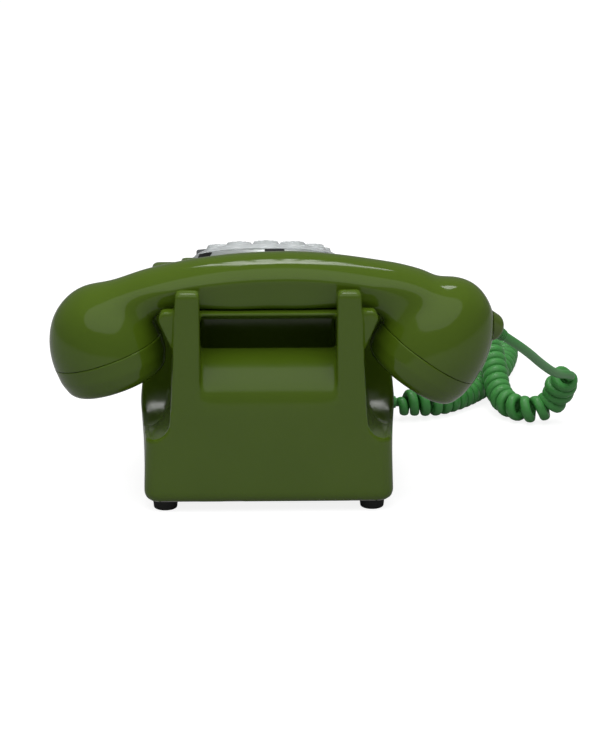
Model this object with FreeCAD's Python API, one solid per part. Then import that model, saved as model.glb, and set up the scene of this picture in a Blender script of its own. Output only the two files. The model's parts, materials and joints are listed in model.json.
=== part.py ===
import FreeCAD, Part
import bisect
import math
import os

from FreeCAD import Placement, Rotation, Vector

# Desk telephone with a rotary dial, in millimetres.
# The dial faces -Y, +X is on the right of a person who dials, and +Z is up.
# Sizes called "ahead" or "d" are measured forward from the rear wall, so y = REAR_Y - d,
# and sizes called "back" are measured rearward from the front.

# The handset overhangs more on one side, so the case stands this far from the frame's middle
FRAME_SHIFT = 2.0

# Overall
CASE_DEPTH = 216.0
REAR_Y = CASE_DEPTH / 2
FOOT_HEIGHT = 5.0
WALL = 2.8
FACE_GAP = 0.3
RUNNING = 0.05
# Cutting shapes reach this far past the rear, sides and top
PAST_REAR_D = -5.0
PAST_SIDE_X = 90.0
PAST_TOP_Z = 130.0

# Case, seen from the side
REAR_LEAN = 1.3
SADDLE_Z = 100.0
SADDLE_END_D = 66.0
CREST_Z = 102.1
DIAL_BACK = 64.4
DIAL_D = CASE_DEPTH - DIAL_BACK
DIAL_Z = 82.9
DIAL_SLOPE = 22.0
CREST_TO_DIAL = 47.6
CREST_D = DIAL_D - CREST_TO_DIAL
FRONT_LEAN = 12.0
FRONT_ROUND = 26.0

# Case, seen from above: half widths at each height, at these distances ahead
MIDDLE_D = 55.0
CHEEK_BACK = 66.0
CHEEK_D = CASE_DEPTH - CHEEK_BACK
LEVELS = [
    # height, rear, middle, cheek, front
    (FOOT_HEIGHT, 62.0, 62.4, 63.0, 61.0),
    (42.0, 60.2, 64.7, 65.3, 62.5),
    (118.0, 56.0, 57.3, 58.0, 54.0),
]
CORNER_ROUND = 8.0
SILL_ROUND = 5.0
FRONT_CORNER = 24.0
FRONT_BULGE = 3.0
EDGE_ROUND = 1.0
BROW_ROUND = 3.0

# Rear posts and front horns of the cradle
POST_IN = 33.4
POST_OUT = 45.3
POST_TOP_Z = 113.0
POST_DEPTH = 10.5
POST_ROUND = 2.2
HORN_TOP_Z = 116.0
HORN_OUT = 43.3
HORN_IN = 38.5
HORN_REAR_D = 50.0
HORN_FRONT_D = 60.0
HORN_END_D = 96.0
WING_OUT = 54.0
WING_DEPTH = 12.2

# Pockets for the handset's caps
POCKET_FLOOR_Z = 37.9
POCKET_FLAT_D = 25.0
POCKET_SWEEP = 40.0
POCKET_IN_LOW = 49.2
POCKET_IN_MIDDLE = 46.8
POCKET_MIDDLE_Z = 78.0
POCKET_BEND = 60.0
POCKET_FILLET = 10.0

# Carry-handle recess
RECESS_HALF = 33.5
RECESS_EDGE_Z = 56.0
LIP_D = 24.0
LIP_Z = 79.3
LIP_BULGE = 5.1
LIP_NOSE = 1.6
LIP_EDGE = 2.4
LIP_DROP = 2.0
RECESS_FLOOR_Z = 66.0
RECESS_END_D = 45.0
SHELF_REAR_D = 12.0
SHELF_THICK = 5.0
SHELF_EDGE = 1.3
SHELF_RAMP = 7.0

# Feet, base plate and screws
FOOT_R = 6.4
FOOT_STEM_R = 2.5
FOOT_BEAD = 1.2
FOOT_X = 51.5
FOOT_REAR_D = 11.5
FOOT_FRONT_BACK = 20.0
FOOT_FRONT_X = 42.0
PLATE_THICK = 1.5
PLATE_LIFT = 0.6
PLATE_GAP = 0.4
SCREW_R = 1.6
SCREW_HEAD_R = 3.2
SCREW_HEAD = 1.6
PILLAR_R = 4.2
PILLAR_X = 50.0
PILLAR_REAR_D = 27.0
PILLAR_FRONT_BACK = 40.0
PILLARS = [(side * PILLAR_X, ahead) for ahead in (PILLAR_REAR_D, CASE_DEPTH - PILLAR_FRONT_BACK)
           for side in (-1, 1)]
PILLAR_TOP_Z = 30.0

# Handset
HANDSET_D = 30.0
HANDLE_REST_Z = SADDLE_Z + 0.4
HANDLE_HALF = 16.8
HANDLE_FOOT_HALF = 15.0
HANDLE_ROUND = 3.0
CREASE_DROP = 9.8
HANDLE_TOP = [(84.0, 110.0), (64.0, 116.4), (46.5, 120.7), (28.0, 123.8), (0.0, 126.0), (-20.0, 125.8),
              (-46.5, 122.8), (-64.0, 119.9), (-82.0, 115.4)]
HANDLE_LOW = [70.0, 89.0, 99.6, 99.6, 99.6, 99.6, 99.6, 88.0, 74.0]
HANDLE_SEAT_HALF = 46.5
CUP_R = 28.2
CAP_GAP = 0.3
CAP_HEIGHT = 17.5
CAP_FACE_R = 24.5
CAP_WALL = 2.2
RECEIVER = dict(x=79.6, z=77.1, tilt=18.6, dome=34.5)
TRANSMITTER = dict(x=-79.7, z=76.0, tilt=-34.4, dome=41.0)
CAPSULE_R = 22.5
CAPSULE_HEIGHT = 12.0
CAPSULE_SEAT = 8.0
CUP_BORE_R = CAPSULE_R + FACE_GAP
TERMINAL_DEPTH = 20.0
TERMINAL_BORE_R = 14.0

# Cord
CORD_R = 2.4
COIL_R = 5.1
COIL_TOP_R = 6.5
PLUG_D = 150.0
PLUG_Z = 10.0
PLUG_R = 4.8
PLUG_NECK_R = 3.6
PLUG_COLLAR_X = 63.8
PLUG_INNER_X = 60.1
PLUG_TIP_GAP = 0.4
BOSS_R = 7.5
BOSS_AT = (-103.0, 27.0, 93.0)
BOSS_TO = (-113.5, 37.5, 83.5)
RELIEF_LENGTH = 8.0
RELIEF_R = 3.8
RELIEF_TIP_R = CORD_R + 0.5
RELIEF_GROOVES = 4
# The coil's axis from the case to the handset, chosen by hand: x, ahead, z
COIL_AXIS = [(-75.8, 150.0, 10.0), (-84.5, 150.4, 9.3), (-93.5, 154.2, 8.0), (-104.0, 163.5, 7.7),
             (-114.0, 176.0, 7.7), (-123.5, 192.0, 7.7), (-131.5, 212.0, 7.7),
             (-137.0, 232.0, 7.7), (-140.5, 252.0, 7.7), (-139.5, 270.0, 7.7),
             (-131.5, 283.5, 7.7), (-118.0, 286.0, 7.8), (-107.5, 275.0, 8.8),
             (-106.0, 256.0, 12.5), (-110.5, 238.0, 18.4), (-116.5, 222.0, 24.2),
             (-122.5, 207.0, 27.4), (-126.4, 192.0, 26.0), (-126.8, 176.0, 19.2),
             (-127.5, 161.5, 11.4), (-132.0, 149.0, 8.2), (-140.5, 141.5, 7.9),
             (-149.5, 142.5, 8.0), (-155.8, 143.5, 11.8), (-158.6, 141.5, 18.0),
             (-159.2, 138.2, 23.5), (-162.3, 135.0, 27.6), (-162.8, 129.5, 30.3)]
COIL_PITCH = 5.4
COIL_EASE = 16.0
COIL_END_EASE = 7.0
EASE_PITCH = 14.0
BEND_SPARE = 0.6
LOOSE_AT = 13.0
LOOSE_SPAN = 20.0
DOTS = 24
LEAD_START = 14.0
LEAD_END = 8.0
# The straight lead's points after the strain relief: x, ahead, z
LEAD_ROUTE = [(-129.3, 64.0, 64.5), (-141.5, 87.0, 50.0), (-152.0, 105.0, 39.5)]

# Dial; heights h are above the sloping face, along the dial's axis
WELL_R = 37.5
LEDGE_R = 34.5
LEDGE_H = 1.5
COLLAR_R = 45.5
COLLAR_H = 3.0
FRAME_R = 37.2
FRAME_THICK = 1.5
PILLAR_ANGLES = [30, 150, 270]
FRAME_SCREWS = [90, 210, 330]
FRAME_SCREW_ORBIT = 35.9
FRAME_SCREW_R = 0.85
FRAME_SCREW_HEAD_R = 1.2
FRAME_SCREW_HEAD = 1.0
RISER_R = 31.0
PLATE_H = 5.9
DIAL_PLATE_R = 36.0
DIAL_PLATE_THICK = 1.2
BEZEL_TOP_H = 7.6
BEZEL_LOW_R = 42.0
BEZEL_TOP_R = 39.8
WHEEL_LOW_H = 9.6
WHEEL_TOP_H = 11.5
WHEEL_FLAT_R = 33.6
WHEEL_R = 38.4
HOLES = 10
HOLE_ORBIT = 28.2
HOLE_R = 5.7
RIM_R = 7.1
RIM_H = 2.0
HOLE_STEP = 30.0
FIRST_HOLE = 30.0
STOP_ANGLE = -32.0
WHEEL_BORE = 5.2
SHAFT_R = 3.0
CENTRE_R = 12.5
CENTRE_RING_R = 15.0
GEAR_MODULE = 0.8
MAIN_TEETH = 50
PINION_TEETH = 10
GEAR_H = -4.0
GEAR_THICK = 2.0
GOVERNOR_ANGLE = 216.0
GOVERNOR_SHAFT_R = 1.2
GOVERNOR_DEPTH = 12.0
WEIGHT_R = 2.4
WEIGHT_REACH = 8.6
ARM_DROP = 8.0
ARM_THICK = 1.2
SPRING_R = 11.0
SPRING_LOW_H = -12.0
SPRING_TOP_H = -8.2
CAM_R = 10.4
CAM_LOBE_R = 1.1
CAM_THICK = 1.6
LEAF = 0.4
REAR_PLATE_H = -16.0
REAR_PLATE_THICK = 1.5
REAR_PLATE_R = 32.0
CLIP_ANGLES = [96.3, 37.1, 216.3, 277.1]
CLIP_HALF = 5.2
CLIP_DEPTH = 2.6

# Bell
GONG_R = 21.0
GONG_X = 24.6
GONG_D = 38.0
GONG_LOW_Z = 15.0
GONG_HEIGHT = 13.0
GONG_WALL = 1.5
GONG_POST_R = 2.0
CLAPPER_REACH = 24.0
CLAPPER_BALL_R = 2.2
ARMATURE_D = GONG_D + CLAPPER_REACH
COIL_AT_X = 12.0
CORE_R = 3.5
BOBBIN_R = 9.0
BOBBIN_LENGTH = 22.0
POLE_GAP = 1.6
BELL_Z = 21.0

# Hook switch
PLUNGER_X = 40.1
PLUNGER_R = 2.4
PLUNGER_FLANGE = 0.6
PLUNGER_LOW_Z = 84.0
HOOK_D = 58.0
HOOK_Z = 80.0
HOOK_PIN_R = 1.5
HOOK_ARM = 2.4
HOOK_EYE_R = 3.4
HOOK_CHEEK_X = 41.9
HOOK_CHEEK = 1.2
HOOK_BOSS_X = 20.0
HOOK_BOSS_D = 70.0
HOOK_BOSS_R = 3.5
HOOK_TABLE_Z = 92.0

# Circuit board
BOARD_Z = 13.0
BOARD_THICK = 1.6
BOARD_HALF = 46.0
BOARD_REAR_D = CASE_DEPTH / 2
BOARD_BACK = 30.0
BOARD_FRONT_D = CASE_DEPTH - BOARD_BACK
BOARD_SCREW_R = 1.25
BOARD_SCREW_EDGE = 6.0
CAPACITOR_R = 7.5
CAPACITOR_LENGTH = 32.0
CAPACITOR_X = 10.0
CAPACITOR_EDGE = 16.0
INDUCTOR_X = -21.0
INDUCTOR_BACK = 46.0
INDUCTOR_DEPTH = 24.0
INDUCTOR_HALF = 13.0
INDUCTOR_HEIGHT = 20.0
INDUCTOR_IRON = 5.0
STRIP_X = 14.0
STRIP_WIDTH = 26.0
STRIP_BACK = 48.0
STRIP_LENGTH = 32.0
STRIP_HEIGHT = 6.0
STRIP_STEP = 7.0

# Line inlet
SOCKET_D = 62.0
SOCKET_Z = 15.0
SOCKET_X = 59.5
SOCKET_NOSE_X = 62.4
SOCKET_DEEP_X = 47.0
SOCKET_HALF = 6.0
SOCKET_HALF_Z = 5.0
SOCKET_WALL = 1.4
SOCKET_GAP = 0.4

PLATE_Z = FOOT_HEIGHT + PLATE_LIFT
DECK_Z = PLATE_Z + PLATE_THICK
REAR_AXIS = Vector(0, 1, 0)
UP = Vector(0, 0, 1)
SIDE = Vector(1, 0, 0)


def at(x, ahead, z):
    """A point given by its distance ahead of the rear wall."""
    return Vector(x, REAR_Y - ahead, z)


def rounded_wire(corners, place):
    """A closed wire through (a, b, radius) corners, each rounded with its own arc."""
    flat = [Vector(a, b, 0) for a, b, _ in corners]
    edges, ends = [], []
    for i, (_, _, radius) in enumerate(corners):
        here, before, after = flat[i], flat[i - 1], flat[(i + 1) % len(flat)]
        back, on = (before - here).normalize(), (after - here).normalize()
        half = back.getAngle(on) / 2
        if radius <= 0 or abs(half - math.pi / 2) < 1e-4:
            ends.append((here, here, None))
            continue
        cut = radius / math.tan(half)
        middle = here + (back + on).normalize() * (radius / math.sin(half) - radius)
        ends.append((here + back * cut, here + on * cut, middle))
    for i, (start, end, middle) in enumerate(ends):
        if middle is not None:
            edges.append(Part.Arc(place(start), place(middle), place(end)).toShape())
        following = ends[(i + 1) % len(ends)][0]
        if (following - end).Length > 1e-6:
            edges.append(Part.LineSegment(place(end), place(following)).toShape())
    return Part.Wire(edges)


def side_prism(corners, x0, x1):
    """A solid from x0 to x1 with a side profile of (ahead, z, radius) corners."""
    wire = rounded_wire(corners, lambda p: at(x0, p.x, p.y))
    return Part.Face(wire).extrude(SIDE * (x1 - x0))


def rear_prism(corners, d0, d1):
    """A solid from d0 to d1 ahead with an outline of (x, z, radius) corners."""
    wire = rounded_wire(corners, lambda p: at(p.x, d0, p.y))
    return Part.Face(wire).extrude(REAR_AXIS * (d0 - d1))


def plan_prism(corners, z0, z1):
    """A solid from z0 to z1 with a plan of (x, ahead, radius) corners."""
    wire = rounded_wire(corners, lambda p: at(p.x, p.y, z0))
    return Part.Face(wire).extrude(UP * (z1 - z0))


def block(x0, x1, d0, d1, z0, z1):
    return Part.makeBox(x1 - x0, d1 - d0, z1 - z0, at(x0, d1, z0))


def rod(start, end, radius):
    axis = end - start
    return Part.makeCylinder(radius, axis.Length, start, axis)


def upright(x, ahead, z0, z1, radius):
    return Part.makeCylinder(radius, z1 - z0, at(x, ahead, z0))


def turned(corners, origin=Vector(0, 0, 0), axis=UP):
    """A solid of revolution from (radius, height, rounding) corners about an axis."""
    wire = rounded_wire(corners, lambda p: Vector(p.x, 0, p.y))
    solid = Part.Face(wire).revolve(Vector(0, 0, 0), UP, 360)
    return set_on(solid, origin, axis)


def set_on(shape, origin, axis):
    shape = shape.copy()
    shape.Placement = Placement(origin, Rotation(UP, axis))
    return shape


def mirrored(shape):
    return shape.mirror(Vector(0, 0, 0), SIDE)


def around(shape, angles):
    """Copies of a shape turned about the Z axis by each angle."""
    copies = []
    for angle in angles:
        copy = shape.copy()
        copy.rotate(Vector(0, 0, 0), UP, angle)
        copies.append(copy)
    return copies


def fuse(shapes):
    shapes = list(shapes)
    return shapes[0].fuse(shapes[1:]).removeSplitter() if len(shapes) > 1 else shapes[0]


def fillet_where(shape, radius, wanted):
    """Rounds the edges whose middle, ends and direction the test accepts."""
    edges = [edge for edge in shape.Edges if wanted(edge)]
    return shape.makeFillet(radius, edges) if edges else shape


def middle_of(edge):
    return edge.valueAt((edge.FirstParameter + edge.LastParameter) / 2)


# Case

def slope_z(ahead):
    """Height of the sloping face at a distance ahead."""
    return DIAL_Z - math.tan(math.radians(DIAL_SLOPE)) * (ahead - DIAL_D)


def side_outline(inset):
    """The case's side profile from above its sill, moved inwards by inset."""
    lean = math.tan(math.radians(FRONT_LEAN))
    rise = math.tan(math.radians(DIAL_SLOPE))
    front_z = (DIAL_Z - rise * (CASE_DEPTH - DIAL_D + lean * FOOT_HEIGHT)) / (1 - rise * lean)
    front_d = CASE_DEPTH - lean * (front_z - FOOT_HEIGHT)
    drop = inset / math.cos(math.radians(DIAL_SLOPE))
    step = inset / math.cos(math.radians(FRONT_LEAN))
    return [
        (PAST_REAR_D, 0.0, 0),
        (PAST_REAR_D, SADDLE_Z - inset, 0),
        (SADDLE_END_D - 8, SADDLE_Z - inset, 4.0),
        (SADDLE_END_D, CREST_Z - inset, 4.0),
        (CREST_D, slope_z(CREST_D) - drop, 14.0),
        (front_d - step, front_z - drop + step * rise, FRONT_ROUND - inset),
        (CASE_DEPTH - step + lean * FOOT_HEIGHT, 0.0, 0),
    ]


def level_outline(row, inset):
    """The case's outline seen from above at one height, as a wire."""
    z, rear, middle, cheek, front = row
    back_d = REAR_LEAN * (z - FOOT_HEIGHT) / (SADDLE_Z - FOOT_HEIGHT) + inset
    front_d = CASE_DEPTH - math.tan(math.radians(FRONT_LEAN)) * (z - FOOT_HEIGHT) - inset
    half = [(rear - inset, back_d, CORNER_ROUND - inset), (middle - inset, MIDDLE_D, 150),
            (cheek - inset, CHEEK_D, 200), (front - inset, front_d - FRONT_BULGE, FRONT_CORNER - inset)]
    ring = half + [(0, front_d, 250)] + [(-x, d, r) for x, d, r in reversed(half)]
    return rounded_wire(ring, lambda p: at(p.x, p.y, z))


def hull(inset):
    """The case as a plain closed block, before its cradle, pockets and recess."""
    rows = [list(row) for row in LEVELS]
    if inset:
        rows[0][0] -= 1.0
    body = Part.makeLoft([level_outline(row, inset) for row in rows], True, True)
    return body.common(side_prism(side_outline(inset), -PAST_SIDE_X, PAST_SIDE_X))


def pocket(outset):
    """The space cut for the left cap, grown by outset for the wall behind it."""
    floor = POCKET_FLOOR_Z - outset
    view = [(POST_OUT - outset, PAST_TOP_Z, 0), (POCKET_IN_MIDDLE - outset, POCKET_MIDDLE_Z, POCKET_BEND),
            (POCKET_IN_LOW - outset, floor, POCKET_FILLET + outset), (PAST_SIDE_X, floor, 0),
            (PAST_SIDE_X, PAST_TOP_Z, 0)]
    end = POCKET_FLAT_D + POCKET_SWEEP + outset
    side = [(PAST_REAR_D, floor, 0), (end, floor, POCKET_SWEEP + outset), (end, PAST_TOP_Z, 0),
            (PAST_REAR_D, PAST_TOP_Z, 0)]
    return rear_prism(view, PAST_REAR_D, end + 1).common(side_prism(side, POST_IN - 4, PAST_SIDE_X))


def recess(outset):
    """The carry-handle recess between the posts, grown by outset."""
    half = RECESS_HALF + outset
    low = RECESS_EDGE_Z - outset
    top = SADDLE_Z - SHELF_THICK + outset
    scoop = Part.Wire([
        Part.LineSegment(at(-half, PAST_REAR_D, low), at(-half, 0, low)).toShape(),
        Part.Arc(at(-half, 0, low), scoop_middle(outset), at(-half, LIP_D, LIP_Z - outset)).toShape(),
        *path_edges([(LIP_D, LIP_Z - outset), (LIP_D + LIP_NOSE - outset, LIP_Z - LIP_DROP - outset),
                     (LIP_D + LIP_EDGE - outset, RECESS_FLOOR_Z - outset),
                     (RECESS_END_D + outset, RECESS_FLOOR_Z - outset),
                     (RECESS_END_D + outset, top), (SHELF_REAR_D + SHELF_RAMP, top),
                     (SHELF_REAR_D - outset, SADDLE_Z - SHELF_EDGE + outset),
                     (SHELF_REAR_D - outset, PAST_TOP_Z), (PAST_REAR_D, PAST_TOP_Z),
                     (PAST_REAR_D, low)], -half),
    ])
    return Part.Face(scoop).extrude(SIDE * (2 * half))


def path_edges(points, x):
    ends = [at(x, d, z) for d, z in points]
    return [Part.LineSegment(a, b).toShape() for a, b in zip(ends, ends[1:])]


def scoop_middle(outset):
    """A point half way up the convex scoop below the carry handle."""
    chord = Vector(LIP_D, LIP_Z - RECESS_EDGE_Z, 0)
    out = Vector(-chord.y, chord.x, 0).normalize() * LIP_BULGE
    middle = chord * 0.5 + out
    return at(-(RECESS_HALF + outset), middle.x, RECESS_EDGE_Z + middle.y - outset)


def rear_post():
    """A rear post on the +X side, with its rounded top and drafted sides."""
    view = [(POST_IN, 80, 0), (POST_OUT + 1.6, 80, 0), (POST_OUT, POST_TOP_Z, POST_ROUND),
            (POST_IN, POST_TOP_Z, POST_ROUND)]
    side = [(REAR_LEAN * 0.8, 80, 0), (REAR_LEAN * 1.15, POST_TOP_Z, POST_ROUND),
            (POST_DEPTH, POST_TOP_Z, POST_ROUND), (POST_DEPTH + 2.0, 80, 0)]
    post = rear_prism(view, -2, 20).common(side_prism(side, 30, 50))
    return fillet_where(post, 1.2, lambda e: middle_of(e).z > 90 and e.Length > 15)


def wing():
    """The flared end of the saddle, beside a rear post."""
    view = [(POST_IN + 4, 84, 0), (47.5, 84, 0), (51.0, 92.0, 8), (WING_OUT, 99.0, 1.5),
            (WING_OUT - 2.0, 102.8, 1.5), (POST_IN + 4, 102.8, 0)]
    return rear_prism(view, 4.0, WING_DEPTH)


def front_horn():
    """A front horn on the +X side, falling forwards into the crest."""
    view = [(20.0, 90, 0), (HORN_OUT + 1.8, 90, 0), (HORN_OUT, HORN_TOP_Z, 2.4),
            (HORN_IN, HORN_TOP_Z, 5), (30.5, HORN_TOP_Z - 1.8, 8), (23.0, 100.0, 8), (20.0, 97.0, 0)]
    side = [(HORN_REAR_D, 90, 0), (HORN_REAR_D + 1.4, HORN_TOP_Z, 2.6), (HORN_FRONT_D, HORN_TOP_Z, 9),
            (HORN_END_D - 10, CREST_Z + 1.2, 20), (HORN_END_D, CREST_Z - 1.5, 0), (HORN_END_D - 6, 90, 0)]
    return rear_prism(view, HORN_REAR_D - 2, HORN_END_D + 2).common(side_prism(side, 15, 50))


def dial_place(shape):
    """Moves a shape from the dial's own frame to its place on the slope."""
    shape = shape.copy()
    turn = Rotation(SIDE, DIAL_SLOPE)
    shape.Placement = Placement(at(0, DIAL_D, DIAL_Z), turn).multiply(shape.Placement)
    return shape


def case():
    outer = hull(0.0)
    outer = fillet_where(outer, SILL_ROUND, is_sill)
    outer = fillet_where(outer, BROW_ROUND, is_brow)
    inner = hull(WALL)
    outer = outer.cut([pocket(0.0), mirrored(pocket(0.0))])
    outer = outer.cut(recess(0.0))
    outer = fillet_where(outer, EDGE_ROUND, is_recess_side)
    for shape in (rear_post(), front_horn(), wing()):
        outer = outer.fuse([shape, mirrored(shape)])
    collar = dial_place(turned([(0, -8, 0), (COLLAR_R + 1.2, -8, 0), (COLLAR_R, COLLAR_H, 1.6),
                                (0, COLLAR_H, 0)]))
    outer = outer.fuse(collar)
    inner = inner.cut([pocket(WALL), mirrored(pocket(WALL))]).cut(recess(WALL))
    shell = outer.cut(inner)
    shell = shell.cut(dial_place(turned([(0, -14, 0), (LEDGE_R, -14, 0), (LEDGE_R, LEDGE_H, 0),
                                         (WELL_R, LEDGE_H, 0), (WELL_R, COLLAR_H + 1, 0),
                                         (0, COLLAR_H + 1, 0)])))
    core = hull(WALL / 2).cut([pocket(WALL / 2), mirrored(pocket(WALL / 2))])
    for x, ahead in PILLARS:
        top = POCKET_FLOOR_Z if ahead < POCKET_FLAT_D + POCKET_SWEEP else CREST_Z
        pillar = upright(x, ahead, DECK_Z, top, PILLAR_R).common(core)
        shell = shell.fuse(pillar).cut(upright(x, ahead, FOOT_HEIGHT, PILLAR_TOP_Z, SCREW_R))
    for x in (-PLUNGER_X, PLUNGER_X):
        shell = shell.cut(upright(x, HANDSET_D, 90, SADDLE_Z + 1, PLUNGER_R + FACE_GAP))
    for x in (-HOOK_BOSS_X, HOOK_BOSS_X):
        boss = upright(x, HOOK_BOSS_D, HOOK_TABLE_Z, SADDLE_Z, HOOK_BOSS_R)
        shell = shell.fuse(boss)
    return shell.cut(cord_hole()).cut(socket_hole())


def is_sill(edge):
    return edge.BoundBox.ZMax < FOOT_HEIGHT + 0.1


def is_brow(edge):
    """The long edges between the flanks and the crest and slope."""
    box = edge.BoundBox
    behind = box.YMax < REAR_Y - SADDLE_END_D - 0.3
    return behind and abs(middle_of(edge).x) > 50 and box.XLength < 4 and box.ZMin > 60 and box.YLength > 5


def is_recess_side(edge):
    p = middle_of(edge)
    return p.y > REAR_Y - REAR_LEAN - 0.2 and abs(abs(p.x) - RECESS_HALF) < 0.1


# Base

def base_plate():
    """The plate that closes the case, just inside its walls."""
    layer = block(-PAST_SIDE_X, PAST_SIDE_X, PAST_REAR_D, CASE_DEPTH, PLATE_Z, DECK_Z)
    plate = hull(WALL + PLATE_GAP).common(layer)
    for x, ahead in PILLARS:
        plate = plate.cut(upright(x, ahead, PLATE_Z - 1, DECK_Z + 1, SCREW_R + FACE_GAP))
    for x, ahead in foot_places():
        plate = plate.cut(upright(x, ahead, PLATE_Z - 1, DECK_Z + 1, FOOT_STEM_R))
    return plate


def foot_places():
    front_d = CASE_DEPTH - FOOT_FRONT_BACK
    return [(side * x, ahead) for x, ahead in ((FOOT_X, FOOT_REAR_D), (FOOT_FRONT_X, front_d))
            for side in (-1, 1)]


def rubber_feet():
    """Four feet, each pushed through the plate and held by a bead on its stem."""
    bead = FOOT_STEM_R + FOOT_BEAD
    profile = [(0, 0, 0), (FOOT_R - 0.6, 0, 0.8), (FOOT_R, PLATE_Z, 0.8), (FOOT_STEM_R, PLATE_Z, 0),
               (FOOT_STEM_R, DECK_Z, 0), (bead, DECK_Z, 0), (bead - 0.6, DECK_Z + 2, 0.5),
               (0, DECK_Z + 2, 0)]
    return [turned(profile, at(x, ahead, 0)) for x, ahead in foot_places()]


def base_screws():
    screws = []
    for x, ahead in PILLARS:
        head = upright(x, ahead, PLATE_Z - SCREW_HEAD, PLATE_Z, SCREW_HEAD_R)
        slot = block(x - SCREW_HEAD_R, x + SCREW_HEAD_R, ahead - 0.4, ahead + 0.4,
                     PLATE_Z - SCREW_HEAD, PLATE_Z - SCREW_HEAD + 0.8)
        shank = upright(x, ahead, PLATE_Z, PILLAR_TOP_Z - 8, SCREW_R - RUNNING)
        screws.append(head.cut(slot).fuse(shank))
    return screws


# Handset

def cup_axes(cup):
    """The seam's centre and the direction out through the cap's face."""
    tilt = math.radians(cup["tilt"])
    return at(cup["x"], HANDSET_D, cup["z"]), Vector(-math.sin(tilt), 0, -math.cos(tilt))


def dome(cup, radius, height):
    """Half an ellipsoid that closes a cup above its seam."""
    centre, out = cup_axes(cup)
    ellipse = Part.Ellipse(Vector(0, 0, height), Vector(radius, 0, 0), Vector(0, 0, 0))
    curve = Part.ArcOfEllipse(ellipse, 0, math.pi / 2).toShape()
    wire = Part.Wire([curve, Part.LineSegment(Vector(radius, 0, 0), Vector(0, 0, 0)).toShape(),
                      Part.LineSegment(Vector(0, 0, 0), Vector(0, 0, height)).toShape()])
    solid = Part.Face(wire).revolve(Vector(0, 0, 0), UP, 360)
    return set_on(solid, centre, -out)


def handle_section(x, top, low):
    """The grip's outline at one place along it: domed top, creased sides, flat foot."""
    crease = top - CREASE_DROP
    left, right = HANDSET_D - HANDLE_HALF, HANDSET_D + HANDLE_HALF
    foot_l, foot_r = HANDSET_D - HANDLE_FOOT_HALF, HANDSET_D + HANDLE_FOOT_HALF
    r = HANDLE_ROUND
    edges = [
        Part.Arc(at(x, left, crease), at(x, HANDSET_D, top), at(x, right, crease)).toShape(),
        Part.LineSegment(at(x, right, crease), at(x, foot_r, low + r)).toShape(),
        Part.LineSegment(at(x, foot_r, low + r), at(x, foot_r - r, low)).toShape(),
        Part.LineSegment(at(x, foot_r - r, low), at(x, foot_l + r, low)).toShape(),
        Part.LineSegment(at(x, foot_l + r, low), at(x, foot_l, low + r)).toShape(),
        Part.LineSegment(at(x, foot_l, low + r), at(x, left, crease)).toShape(),
    ]
    return Part.Wire(edges)


def handset_shell():
    grip = Part.makeLoft([handle_section(x, top, low)
                          for (x, top), low in zip(HANDLE_TOP, HANDLE_LOW)], True, False)
    for cup in (RECEIVER, TRANSMITTER):
        centre, out = cup_axes(cup)
        below = Part.makeCylinder(CUP_R + 12, 2 * CUP_R, centre, out)
        grip = grip.cut(below)
    seat = block(-HANDLE_SEAT_HALF, HANDLE_SEAT_HALF, 0, 2 * HANDSET_D, POCKET_FLOOR_Z, HANDLE_REST_Z)
    shell = grip.cut(seat)
    for cup in (RECEIVER, TRANSMITTER):
        shell = shell.fuse(dome(cup, CUP_R, cup["dome"]))
    for cup in (RECEIVER, TRANSMITTER):
        centre, out = cup_axes(cup)
        shell = shell.cut(rod(centre + out, centre - out * CAPSULE_SEAT, CUP_BORE_R))
    centre, out = cup_axes(TRANSMITTER)
    shell = shell.cut(rod(centre, centre - out * TERMINAL_DEPTH, TERMINAL_BORE_R))
    return shell.removeSplitter()


def cap(cup, holes):
    """A screwed-on cap: a bowl with its sound holes, set just below the seam."""
    outer = [(0, 0, 0), (CUP_R, 0, 0.6), (CUP_R - 0.6, 8, 12), (CAP_FACE_R, CAP_HEIGHT, 7),
             (12, CAP_HEIGHT, 10), (0, CAP_HEIGHT - 1.2, 0)]
    wall = CAP_WALL
    inner = [(0, -1, 0), (CUP_R - wall - 1.4, -1, 0), (CUP_R - wall - 1.8, 8, 10),
             (CAP_FACE_R - wall, CAP_HEIGHT - wall - 1.2, 5), (0, CAP_HEIGHT - wall - 1.2, 0)]
    bowl = turned(outer).cut(turned(inner))
    drill = Part.makeCylinder(1.2, 20, Vector(0, 0, 2))
    for radius, count in holes:
        out_at = drill.copy()
        out_at.translate(Vector(radius, 0, 0))
        for copy in around(out_at, [360 * i / count for i in range(count)]):
            bowl = bowl.cut(copy)
    centre, out = cup_axes(cup)
    return set_on(bowl, centre + out * CAP_GAP, out)


def capsule(cup):
    """A sound capsule: a stepped can with a rounded rim, seated in its cup."""
    profile = [(0, 0, 0), (CAPSULE_R - 3, 0, 1), (CAPSULE_R, 3, 0.8), (CAPSULE_R, CAPSULE_HEIGHT, 0.8),
               (CAPSULE_R - 4, CAPSULE_HEIGHT, 0), (CAPSULE_R - 4, CAPSULE_HEIGHT - 1, 0),
               (0, CAPSULE_HEIGHT - 1, 0)]
    centre, out = cup_axes(cup)
    return turned(profile, centre - out * (CAPSULE_SEAT - 0.2), out)


def handset_terminals():
    centre, out = cup_axes(TRANSMITTER)
    bed = turned([(0, 0, 0), (11, 0, 0), (11, 5, 0.8), (0, 5, 0)])
    posts = [Part.makeCylinder(1.8, 3, Vector(x, y, 5)) for x in (-5, 5) for y in (-5, 5)]
    return set_on(fuse([bed, *posts]), centre - out * (TERMINAL_DEPTH - 0.2), out)


# Cord

def lead_direction():
    return (at(*BOSS_TO) - at(*BOSS_AT)).normalize()


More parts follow.
